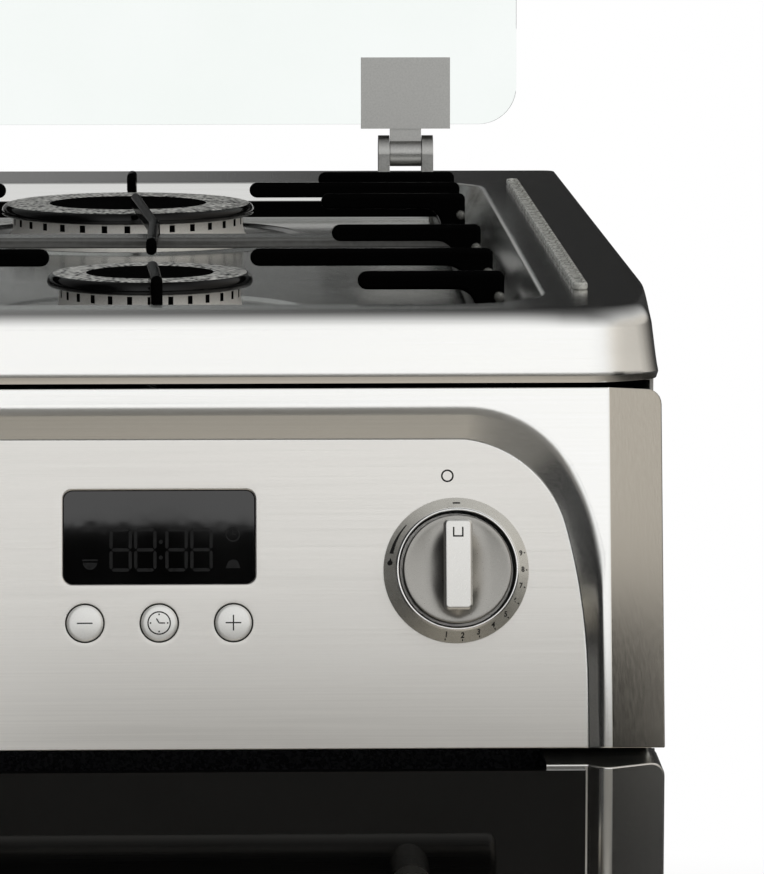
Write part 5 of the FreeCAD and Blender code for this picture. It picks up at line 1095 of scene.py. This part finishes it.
def facing(mouth, fine, length):
    """The places on a fine floor outline that lie nearest to the mouth's, and places further in."""
    base, inner = [], []
    for point in mouth:
        k = min(range(len(fine)), key=lambda k: (fine[k] - point).length)
        along = (fine[min(k + 1, len(fine) - 1)] - fine[max(k - 1, 0)]).normalized()
        inward = fine[k] + Vector((-along.y, along.x)) * FLOOR_MARGIN
        base.append(fine[k])
        inner.append(Vector((max(inward.x, 0), min(inward.y, length))))
    inner[0].x = 0
    inner[-1].y = length
    return base, inner


def extrude(*step):
    """Extrude what is selected by a step in mm."""
    bpy.ops.mesh.extrude_region_move(TRANSFORM_OT_translate={"value": [part * MM for part in step]})


def pressed_front(length, closed):
    """The frame and step of a pressed front in edit mode. One that isn't closed runs out at both ends."""
    if closed:
        mouth = recess_line(MOUTH, length)
        fine = recess_line(FLOOR, length, FINE_COUNTS)
        lines = list(zip(frame_line(mouth, length), mouth, *facing(mouth, fine, length)))
        left = [section(*line, -1) for line in reversed(lines[1:])]
        return skin(left + [section(*line, 1) for line in lines])
    insets = (CHEEK_WIDTH, MOUTH["side"], FLOOR["side"], FLOOR["side"] + FLOOR_MARGIN)
    lines = list(zip(*(side_line(inset, length) for inset in insets)))
    halves = [skin([section(*line, side) for line in lines]) for side in (-1, 1)]
    made = join(halves)
    bpy.ops.object.mode_set(mode="EDIT")
    return made


def add_flanges(length, back):
    """Extrude the frame into cheeks and flanges, and round the edges between them."""
    for side in (1, -1):
        choose("EDGE", lambda x, y, z: abs(x - side * CREASE) < NEAR and abs(y) < NEAR)
        extrude(side * CHEEK_WIDTH, CHEEK_DEPTH, 0)
        extrude(0, back - CHEEK_DEPTH, 0)
    for end in (0, -length):
        choose("EDGE", lambda x, y, z: abs(z - end) < NEAR and y < CHEEK_DEPTH + NEAR)
        extrude(0, 0, 0)
        bpy.ops.transform.resize(value=(1, 0, 1), center_override=(0, back * MM, 0))
    bpy.ops.mesh.select_all(action="SELECT")
    bpy.ops.mesh.remove_doubles(threshold=WELD)
    bpy.ops.mesh.normals_make_consistent(inside=False)
    choose("EDGE", lambda x, y, z: abs(abs(x) - HOB_HALF) < NEAR and abs(z) < NEAR)
    bpy.ops.mesh.bevel(offset=CORNER_ROUND * MM, segments=6, affect="EDGES")
    choose("EDGE", lambda x, y, z: abs(abs(x) - CREASE) < NEAR and abs(y) < NEAR)
    bpy.ops.mesh.bevel(offset=FRONT_EDGE * MM, segments=3, affect="EDGES")
    bpy.ops.object.mode_set(mode="OBJECT")
    made = bpy.context.object
    bpy.ops.object.modifier_add(type="BEVEL")
    made.modifiers[0].width = FLANGE_EDGE * MM
    made.modifiers[0].segments = 3
    made.modifiers[0].limit_method = "ANGLE"
    made.modifiers[0].angle_limit = math.radians(SHARP)
    bpy.ops.object.modifier_apply(modifier=made.modifiers[0].name)
    bpy.ops.object.mode_set(mode="EDIT")


print("recess outline of", len(recess_line(MOUTH, 1.0)), "points a side")

# %% [markdown]
# The control panel's floor is filled round the openings for the timer window and its buttons, before
# the flanges are drawn. The sheet gets its thickness, and the rims of the openings are softened so that
# they catch a line of light. The floor is brushed along the panel, the frame round it is satin, and the
# slanted cheeks at the sides are brushed the other way and painted a darker tone as shade.

# %% control panel
PANEL_TILT = 12.0
PANEL_HEIGHT = 120.0
PANEL_BACK = 28.0
PANEL_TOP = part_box("control_panel")[1][2] / MM
TIMER_X, WINDOW_DROP = 131.5, 49.2
WINDOW_WIDTH, WINDOW_HEIGHT, WINDOW_CORNER = 63.8, 31.2, 3.2
BUTTON_DROP, BUTTON_PITCH, BUTTON_HOLE_R = 77.8, 24.7, 6.5
WINDOW_BAND = 4.0
HOLE_BAND = 1.25
WINDOW_EDGE, HOLE_EDGE = 0.8, 0.3
FLOOR_REACH = 1.6
panel_place = Matrix.Translation(Vector((0, HOB_FRONT, PANEL_TOP)) * MM) @ Matrix.Rotation(
    math.radians(-PANEL_TILT), 4, "X"
)
button_places = [TIMER_X + BUTTON_PITCH * k for k in (-1, 0, 1)]


def on_floor(x, y, z):
    return abs(y - RECESS_DEPTH) < NEAR


def in_window(x, y, z):
    wide = abs(x - TIMER_X) < WINDOW_WIDTH / 2 + LOOSE
    return on_floor(x, y, z) and wide and abs(z + WINDOW_DROP) < WINDOW_HEIGHT / 2 + LOOSE


def at_button(x, y, z):
    nearest = min(math.hypot(x - place, z + BUTTON_DROP) for place in button_places)
    return on_floor(x, y, z) and nearest < BUTTON_HOLE_R + LOOSE


panel = pressed_front(PANEL_HEIGHT, True)
choose("VERT", lambda x, y, z: on_floor(x, y, z) and abs(z + PANEL_HEIGHT) < NEAR
       and abs(x) < HOB_HALF - FLOOR["side"] - FLOOR_MARGIN / 2)
bpy.ops.mesh.edge_face_add()
upright = (math.radians(90), 0, 0)
window = Vector((TIMER_X, RECESS_DEPTH, -WINDOW_DROP)) * MM
bpy.ops.mesh.primitive_plane_add(size=1, location=window, rotation=upright)
bpy.ops.transform.resize(value=(WINDOW_WIDTH * MM, 1, WINDOW_HEIGHT * MM), center_override=window)
bpy.ops.mesh.bevel(offset=WINDOW_CORNER * MM, segments=6, affect="VERTICES")
bpy.ops.mesh.delete(type="ONLY_FACE")
choose("EDGE", in_window)
extrude(0, 0, 0)
band = (1 + WINDOW_BAND / WINDOW_WIDTH, 1, 1 + WINDOW_BAND / WINDOW_HEIGHT)
bpy.ops.transform.resize(value=band, center_override=window)
for x in button_places:
    hole = Vector((x, RECESS_DEPTH, -BUTTON_DROP)) * MM
    bpy.ops.mesh.primitive_circle_add(vertices=48, radius=BUTTON_HOLE_R * MM, location=hole, rotation=upright)
    extrude(0, 0, 0)
    bpy.ops.transform.resize(value=(HOLE_BAND, 1, HOLE_BAND), center_override=hole)
choose("EDGE", lambda x, y, z: on_floor(x, y, z) and not in_window(x, y, z) and not at_button(x, y, z),
       border=True)
bpy.ops.mesh.fill(use_beauty=True)
add_flanges(PANEL_HEIGHT, PANEL_BACK)
thicken(panel)
bpy.ops.object.mode_set(mode="EDIT")
choose("EDGE", in_window)
bpy.ops.mesh.bevel(offset=WINDOW_EDGE * MM, segments=3, affect="EDGES")
choose("EDGE", at_button)
bpy.ops.mesh.bevel(offset=HOLE_EDGE * MM, segments=2, affect="EDGES")
for steel in (satin_steel, brushed_steel, shaded_cheek_steel):
    panel.data.materials.append(steel)
coat(panel, 1, lambda x, y, z: RECESS_DEPTH - NEAR < y < RECESS_DEPTH + FLOOR_REACH
     and abs(x) < HOB_HALF - FLOOR["side"])
# The slanted cheeks get the darker steel, a painted shade on the sides that face away from the front.
coat(panel, 2, lambda x, y, z: abs(x) > CREASE - LOOSE and y < PANEL_BACK - 1)
bpy.ops.object.mode_set(mode="OBJECT")
put(panel, panel_place)
done(panel, "control_panel_pressing", ROOT, satin_steel, ["control_panel"])

# %% [markdown]
# The doors use the same pressing: on the top door it runs straight through, and on the main door the
# closed end is at the foot, so that one is drawn upside down and mirrored in height. When the main door
# swings down, its foot passes the two hinge arms on the case, so a block cuts a slot for each of them.

# %% door skins
DOOR_BACK = 34.5
HINGE_X = 225.0
HINGE_SLOT = (6.0, 31.0, 14.0)
HINGE_SLOT_FRONT = 5.9


def cut_hinge_slot(door, x):
    """Cut a slot for a hinge arm through the edge of a door at zero height."""
    spot = Vector((x, HINGE_SLOT_FRONT + HINGE_SLOT[1] / 2, 0)) * MM
    clear_selection()
    bpy.ops.mesh.primitive_cube_add(size=1, location=spot, scale=Vector(HINGE_SLOT) * MM)
    block = bpy.context.object
    bpy.context.view_layer.objects.active = door
    bpy.ops.object.modifier_add(type="BOOLEAN")
    door.modifiers[0].object = block
    door.modifiers[0].operation = "DIFFERENCE"
    bpy.ops.object.modifier_apply(modifier=door.modifiers[0].name)
    bpy.data.objects.remove(block)


for name, closed in (("top", False), ("main", True)):
    low_corner, high_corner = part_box(name + "_door_skin")
    height = (high_corner[2] - low_corner[2]) / MM
    door = pressed_front(height, closed)
    add_flanges(height, DOOR_BACK)
    thicken(door)
    if closed:
        for x in (-HINGE_X, HINGE_X):
            cut_hinge_slot(door, x)
        upside_down = Matrix.Scale(-1, 4, Vector((0, 0, 1)))
        put(door, Matrix.Translation((0, low_corner[1], low_corner[2])) @ upside_down)
    else:
        put(door, Matrix.Translation((0, low_corner[1], high_corner[2])))
    flip_faces(door)
    body = name + "_door"
    done(door, body + "_pressing", body, satin_steel, [body + "_skin"])

# %% [markdown]
# Everything on the panel is drawn facing up and then stood on the recess floor. Printed marks are thin
# plates, because a plate keeps a sharp edge at any distance and needs no picture; a function lays them
# on the surface that carries them.

# %% marks
INK = 0.03
INK_LIFT = 0.02
INK_EDGE = 0.01


def facing_out(x, drop):
    """Stand a thing that faces up Z on the recess floor."""
    stood = Matrix.Rotation(math.radians(90), 4, "X")
    return panel_place @ Matrix.Translation(Vector((x, RECESS_DEPTH, -drop)) * MM) @ stood


def mark(outline, surface, thickness=INK):
    """A printed mark on a surface that gives a height for each place."""
    made = slab(outline, lambda a, b, depth: (a, b, surface(a, b) + depth + INK_LIFT), thickness, INK_EDGE, 1)
    bpy.ops.object.mode_set(mode="OBJECT")
    return made


def ring_mark(radius, line, surface, x=0.0, y=0.0):
    """A printed ring."""
    inner, outer = radius - line / 2, radius + line / 2
    rise = surface(x + radius, y)
    made = lathe([(inner, -INK), (outer, -INK), (outer, INK), (inner, INK), (inner, -INK)], 48)
    bpy.ops.object.mode_set(mode="OBJECT")
    return put(made, Matrix.Translation(Vector((x, y, rise)) * MM))


def stroke(x0, y0, x1, y1, line, count=8):
    """The outline of a straight stroke, with points along it so that it can follow a curve."""
    start, end = Vector((x0, y0)), Vector((x1, y1))
    across = (end - start).normalized() * (line / 2)
    across = Vector((-across.y, across.x))
    there = [start.lerp(end, k / count) for k in range(count + 1)]
    return [tuple(p - across) for p in there] + [tuple(p + across) for p in reversed(there)]


def level_surface(a, b):
    return 0.0


print("marks are", 2 * INK, "mm thick")

# %% [markdown]
# The timer's digits aren't lit, so they show only as ghosts: seven-segment figures and small symbols a
# little lighter than the glass. A segment is drawn once with its pointed ends and laid or stood in its
# place.

# %% timer display
GLASS_SINK = 0.4
DIGIT_WIDTH, DIGIT_HEIGHT, SEGMENT = 6.4, 13.4, 1.1
DIGITS = (115.5, 123.7, 134.1, 142.4)
DIGIT_MIDDLE = 53.4
SEGMENT_GAP = 0.25
COLON_RISE = 2.6
CLOCK_SIGN = (24.6, 0.8)
BELL_SIGN = (24.6, -9.6)
POT_SIGN = (-23.0, -8.4)


def segment(x, y, length, upright):
    """The outline of one bar of a figure, with pointed ends."""
    half, tip = length / 2 - SEGMENT_GAP, SEGMENT / 2
    flat = half - tip
    shape = [(-half, 0), (-flat, -tip), (flat, -tip), (half, 0), (flat, tip), (-flat, tip)]
    return [(x - b, y + a) if upright else (x + a, y + b) for a, b in shape]


parts = []
arm = DIGIT_HEIGHT / 2
for left in DIGITS:
    x, y = left + DIGIT_WIDTH / 2 - TIMER_X, WINDOW_DROP - DIGIT_MIDDLE
    for row in (-1, 0, 1):
        parts.append(mark(segment(x, y + row * arm, DIGIT_WIDTH, False), level_surface))
    for column in (-1, 1):
        for row in (-0.5, 0.5):
            parts.append(mark(segment(x + column * DIGIT_WIDTH / 2, y + row * arm, arm, True), level_surface))
colon = (DIGITS[1] + DIGIT_WIDTH + DIGITS[2]) / 2 - TIMER_X
for row in (-COLON_RISE, COLON_RISE):
    parts.append(ring_mark(0.4, 0.5, level_surface, colon, WINDOW_DROP - DIGIT_MIDDLE + row))
x, y = CLOCK_SIGN
parts.append(ring_mark(2.2, 0.45, level_surface, x, y))
parts.append(mark(stroke(x, y, x, y + 1.4, 0.35), level_surface))
parts.append(mark(stroke(x, y, x + 1.0, y, 0.35), level_surface))
x, y = BELL_SIGN
parts.append(mark(arc(x, y, 2.1, 0, 180, 10) + [(x - 2.5, y - 0.8), (x + 2.5, y - 0.8)], level_surface))
x, y = POT_SIGN
parts.append(mark(arc(x, y, 2.4, 180, 360, 10), level_surface))
parts.append(mark(stroke(x - 2.6, y + 0.8, x + 2.6, y + 0.8, 0.5), level_surface))
sunk = Matrix.Translation(Vector((0, 0, -GLASS_SINK * MM)))
display = put(join(parts), facing_out(TIMER_X, WINDOW_DROP) @ sunk)
done(display, "timer_segments", ROOT, ghost_segments)

# %% [markdown]
# A button is a shallow dome in a narrow dark gap. It is turned once and copied, and its sign is laid on
# the dome as a thin plate.

# %% timer buttons
BUTTON_R, BUTTON_DOME, BUTTON_CURVE = 6.1, 1.3, 0.012
BUTTON_FOOT = -3.0
SIGN_HALF, SIGN_LINE = 2.6, 0.42


def on_dome(a, b):
    return BUTTON_DOME - BUTTON_CURVE * (a * a + b * b)


def polar(radius, angle):
    return radius * math.cos(math.radians(angle)), radius * math.sin(math.radians(angle))


profile = [(0, BUTTON_FOOT), (BUTTON_R, BUTTON_FOOT), (BUTTON_R, 0.0), (BUTTON_R - 0.1, 0.35),
           (BUTTON_R - 0.35, 0.7), (BUTTON_R - 0.75, 0.92)]
profile += [(radius, on_dome(radius, 0)) for radius in (4.9, 4.0, 3.0, 2.0, 1.0, 0.0)]
button = lathe(profile, 64)
bpy.ops.object.mode_set(mode="OBJECT")
level_stroke = stroke(-SIGN_HALF, 0, SIGN_HALF, 0, SIGN_LINE)
upright_stroke = stroke(0, -SIGN_HALF, 0, SIGN_HALF, SIGN_LINE)
hands = [stroke(0, 0, -0.9, 1.5, 0.4), stroke(0, 0, 2.0, 0, 0.4)]
hours = [stroke(*polar(2.6, angle), *polar(3.1, angle), 0.5, 2) for angle in (0, 90, 180, 270)]
signs = {
    "minus": [mark(level_stroke, on_dome)],
    "clock": [ring_mark(3.7, SIGN_LINE, on_dome)] + [mark(line, on_dome) for line in hands + hours],
    "plus": [mark(level_stroke, on_dome), mark(upright_stroke, on_dome)],
}
for (name, sign), x in zip(signs.items(), button_places):
    body = "timer_button_" + name + "_body"
    dome = copy_of(button, facing_out(x, BUTTON_DROP))
    done(dome, "button_dome_" + name, body, button_silver, ["timer_button_" + name])
    done(put(join(sign), facing_out(x, BUTTON_DROP)), "button_sign_" + name, body, black_ink)
bpy.data.objects.remove(button)

# %% [markdown]
# Each knob stands in a conical bezel with a polished lip and a bore coated black as painted shade in
# the gap round the knob. The bezel is turned, and its marks are laid on the cone: a stop mark at the
# top, a widening arc with a flame, and the oven's numbers. Figures come from a text object that is
# turned into a mesh.

# %% bezels
BEZEL_BASE, BEZEL_TOP_R, BEZEL_BORE_R = 24.25, 20.3, 19.0
CONE_FOOT = (BEZEL_BASE - 0.1, 1.1)
CONE_TOP = (BEZEL_TOP_R + 0.3, 11.2)
CONE_LIFT = 0.04
STOP_R, STOP_SPAN, STOP_LINE = 22.2, 3.2, 0.55
ARC_R, ARC_START, ARC_STEP, ARC_STEPS = 22.4, 138, 2.8, 10
ARC_LINE, ARC_GROWTH = 0.25, 0.09
FLAME_ANGLE, FLAME_SIZE = 173, 1.3
TICK_FROM, TICK_TO, TICK_LINE = 23.1, 23.7, 0.4
NUMBER_R, NUMBER_SIZE, NUMBER_START, NUMBER_STEP, NUMBERS = 21.95, 2.4, 14, 14.2, 9
STOP_SIGN_R, STOP_SIGN_SHIFT, STOP_SIGN_DROP = 1.85, 2.7, 29.1
KNOB_DROP = 60.7
knob_places = {}
for name in ("front_left", "rear_left", "rear_right", "front_right", "main_oven", "top_oven_grill"):
    low_corner, high_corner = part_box("knob_" + name)
    knob_places[name] = (low_corner[0] + high_corner[0]) / 2 / MM


def on_cone(a, b):
    share = (CONE_FOOT[0] - math.hypot(a, b)) / (CONE_FOOT[0] - CONE_TOP[0])
    return CONE_FOOT[1] + share * (CONE_TOP[1] - CONE_FOOT[1]) + CONE_LIFT


def arc_mark(radius, start, stop, thin, thick):
    """A curved stroke that widens from one end to the other."""
    steps = [k / 4 for k in range(5)]
    outer = [polar(radius + (thin + (thick - thin) * t) / 2, start + (stop - start) * t) for t in steps]
    inner = [polar(radius - (thin + (thick - thin) * t) / 2, start + (stop - start) * t) for t in steps]
    return inner + outer[::-1] if stop < start else outer + inner[::-1]


def flame(x, y, size):
    """The outline of a small flame."""
    shape = ((0, -1), (0.5, -0.8), (0.65, -0.3), (0.4, 0.2), (0.1, 1.1),
             (-0.1, 0.4), (-0.5, 0.1), (-0.65, -0.4), (-0.45, -0.85))
    return [(x + a * size, y + b * size) for a, b in shape]


def number(text, x, y, size):
    """A figure as a flat mesh laid on the cone."""
    clear_selection()
    bpy.ops.object.text_add()
    made = bpy.context.object
    made.data.body = text
    made.data.size = size
    made.data.offset = 0.08
    made.data.align_x = "CENTER"
    made.data.align_y = "CENTER"
    bpy.ops.object.convert(target="MESH")
    for vertex in made.data.vertices:
        a, b = x + vertex.co.x, y + vertex.co.y
        vertex.co = Vector((a, b, on_cone(a, b) + INK)) * MM
    return made


bore, rim = BEZEL_BORE_R, BEZEL_TOP_R
bezel = lathe(
    [(bore, 0), (BEZEL_BASE, 0), (BEZEL_BASE, 0.8), CONE_FOOT, CONE_TOP, (rim + 0.1, 11.65),
     (rim - 0.2, 11.92), (rim - 0.5, 12.0), (rim - 0.8, 11.9), (bore + 0.15, 11.6), (bore, 11.0), (bore, 0)],
    128,
)
for coating in (bezel_steel, polished_steel, black_plastic):
    bezel.data.materials.append(coating)
coat(bezel, 1, lambda x, y, z: z > CONE_TOP[1] - LOOSE and math.hypot(x, y) < rim + 0.35)
# The bore is coated black, a painted shade in the gap between bezel and knob.
coat(bezel, 2, lambda x, y, z: math.hypot(x, y) < bore + 0.55)
bpy.ops.object.mode_set(mode="OBJECT")
for name, x in knob_places.items():
    place = facing_out(x, KNOB_DROP)
    replaced = ["knob_bezels"] if name == "front_left" else []
    done(copy_of(bezel, place), "bezel_" + name, ROOT, bezel_steel, replaced)
    print_marks = [mark(arc_mark(STOP_R, 90 - STOP_SPAN, 90 + STOP_SPAN, STOP_LINE, STOP_LINE), on_cone)]
    if name != "main_oven":
        for k in range(ARC_STEPS):
            start, line = ARC_START + ARC_STEP * k, ARC_LINE + ARC_GROWTH * k
            step = arc_mark(ARC_R, start, start + ARC_STEP, line, line + ARC_GROWTH)
            print_marks.append(mark(step, on_cone))
        print_marks.append(mark(flame(*polar(ARC_R, FLAME_ANGLE), FLAME_SIZE), on_cone))
    if name in ("main_oven", "top_oven_grill"):
        for k in range(NUMBERS):
            angle = NUMBER_START - NUMBER_STEP * k
            tick = stroke(*polar(TICK_FROM, angle), *polar(TICK_TO, angle), TICK_LINE, 2)
            print_marks.append(mark(tick, on_cone))
            print_marks.append(number(str(NUMBERS - k), *polar(NUMBER_R, angle), NUMBER_SIZE))
    done(put(join(print_marks), place), "bezel_print_" + name, ROOT, black_ink)
    stop_sign = ring_mark(STOP_SIGN_R, STOP_LINE, level_surface)
    put(stop_sign, facing_out(x - STOP_SIGN_SHIFT, STOP_SIGN_DROP))
    done(stop_sign, "stop_sign_" + name, ROOT, black_ink)
bpy.data.objects.remove(bezel)

# %% [markdown]
# A knob is a turned disc. Its face swells up on both sides towards the grip, which is a plate with round
# corners and soft edges that stands up from the disc. Its pointer is a small open square. The knob is
# made once and copied to all six places, each on the body that turns.

# %% knobs
KNOB_R, KNOB_LOW, KNOB_FACE = 18.0, 3.0, 12.5
GRIP_HALF, GRIP_UP, GRIP_DOWN, GRIP_TOP, GRIP_CORNER = 4.75, 16.3, 13.7, 19.5, 1.8
GRIP_EDGE, GRIP_SINK = 1.1, 5.0
FACE_R, FACE_STEPS = 16.8, 22
DISH_DEPTH = 1.2
SWELL, SWELL_REACH, SWELL_EASE = 6.0, 12.0, 9.0
POINTER_HALF, POINTER_LOW, POINTER_HIGH, POINTER_LINE = 1.5, 10.6, 13.6, 0.5
POINTER_SINK, POINTER_THICKNESS = 0.02, 0.04


def eased(share):
    """A share from 0 to 1 with a soft start and end."""
    share = min(1.0, max(0.0, share))
    return share * share * (3 - 2 * share)


FACE_RADII = [FACE_R * (1 - k / FACE_STEPS) for k in range(FACE_STEPS + 1)]
disc = lathe(
    [(0, KNOB_LOW), (KNOB_R - 0.3, KNOB_LOW), (KNOB_R, KNOB_LOW + 0.3), (KNOB_R, KNOB_FACE - 0.5),
     (KNOB_R - 0.1, KNOB_FACE - 0.2), (KNOB_R - 0.3, KNOB_FACE - 0.05), (KNOB_R - 0.6, KNOB_FACE)]
    + [(radius, KNOB_FACE - DISH_DEPTH * (1 - (radius / FACE_R) ** 2)) for radius in FACE_RADII],
    128,
)
bpy.ops.object.mode_set(mode="OBJECT")
for vertex in disc.data.vertices:
    x, y, z = vertex.co / MM
    if z > KNOB_FACE - DISH_DEPTH - LOOSE:
        near = max(0.0, 1 - abs(x) / SWELL_REACH)
        vertex.co.z += SWELL * near**2 * eased((FACE_R - math.hypot(x, y)) / SWELL_EASE) * MM
# The disc is painted darker than the grip, as shade.
disc.data.materials.append(shaded_disc_steel)
side, low, up = GRIP_HALF - GRIP_CORNER, GRIP_CORNER - GRIP_DOWN, GRIP_UP - GRIP_CORNER
ends = arc(side, low, GRIP_CORNER, -90, 0, 5) + arc(side, up, GRIP_CORNER, 0, 90, 5)
ends += arc(-side, up, GRIP_CORNER, 90, 180, 5) + arc(-side, low, GRIP_CORNER, 180, 270, 5)
grip_root = KNOB_FACE - GRIP_SINK
middle, half = (GRIP_TOP + grip_root) / 2, (GRIP_TOP - grip_root) / 2
grip = slab(ends, lambda a, b, depth: (a, b, middle + depth), half, GRIP_EDGE, 4)
bpy.ops.object.mode_set(mode="OBJECT")
grip.data.materials.append(knob_steel)
knob = join([disc, grip])
pointer_top = GRIP_TOP - POINTER_SINK
foot_half = POINTER_HALF + POINTER_LINE / 2
pointer_lines = []
for x in (-POINTER_HALF, POINTER_HALF):
    pointer_lines.append(stroke(x, POINTER_HIGH, x, POINTER_LOW, POINTER_LINE, 2))
pointer_lines.append(stroke(-foot_half, POINTER_LOW, foot_half, POINTER_LOW, POINTER_LINE, 2))
pointer = join([mark(line, lambda a, b: pointer_top, POINTER_THICKNESS) for line in pointer_lines])
for name, x in knob_places.items():
    body = "knob_" + name + "_body"
    place = facing_out(x, KNOB_DROP)
    done(copy_of(knob, place), "knob_turned_" + name, body, knob_steel, ["knob_" + name])
    done(copy_of(pointer, place), "knob_pointer_" + name, body, black_ink)
bpy.data.objects.remove(knob)
bpy.data.objects.remove(pointer)
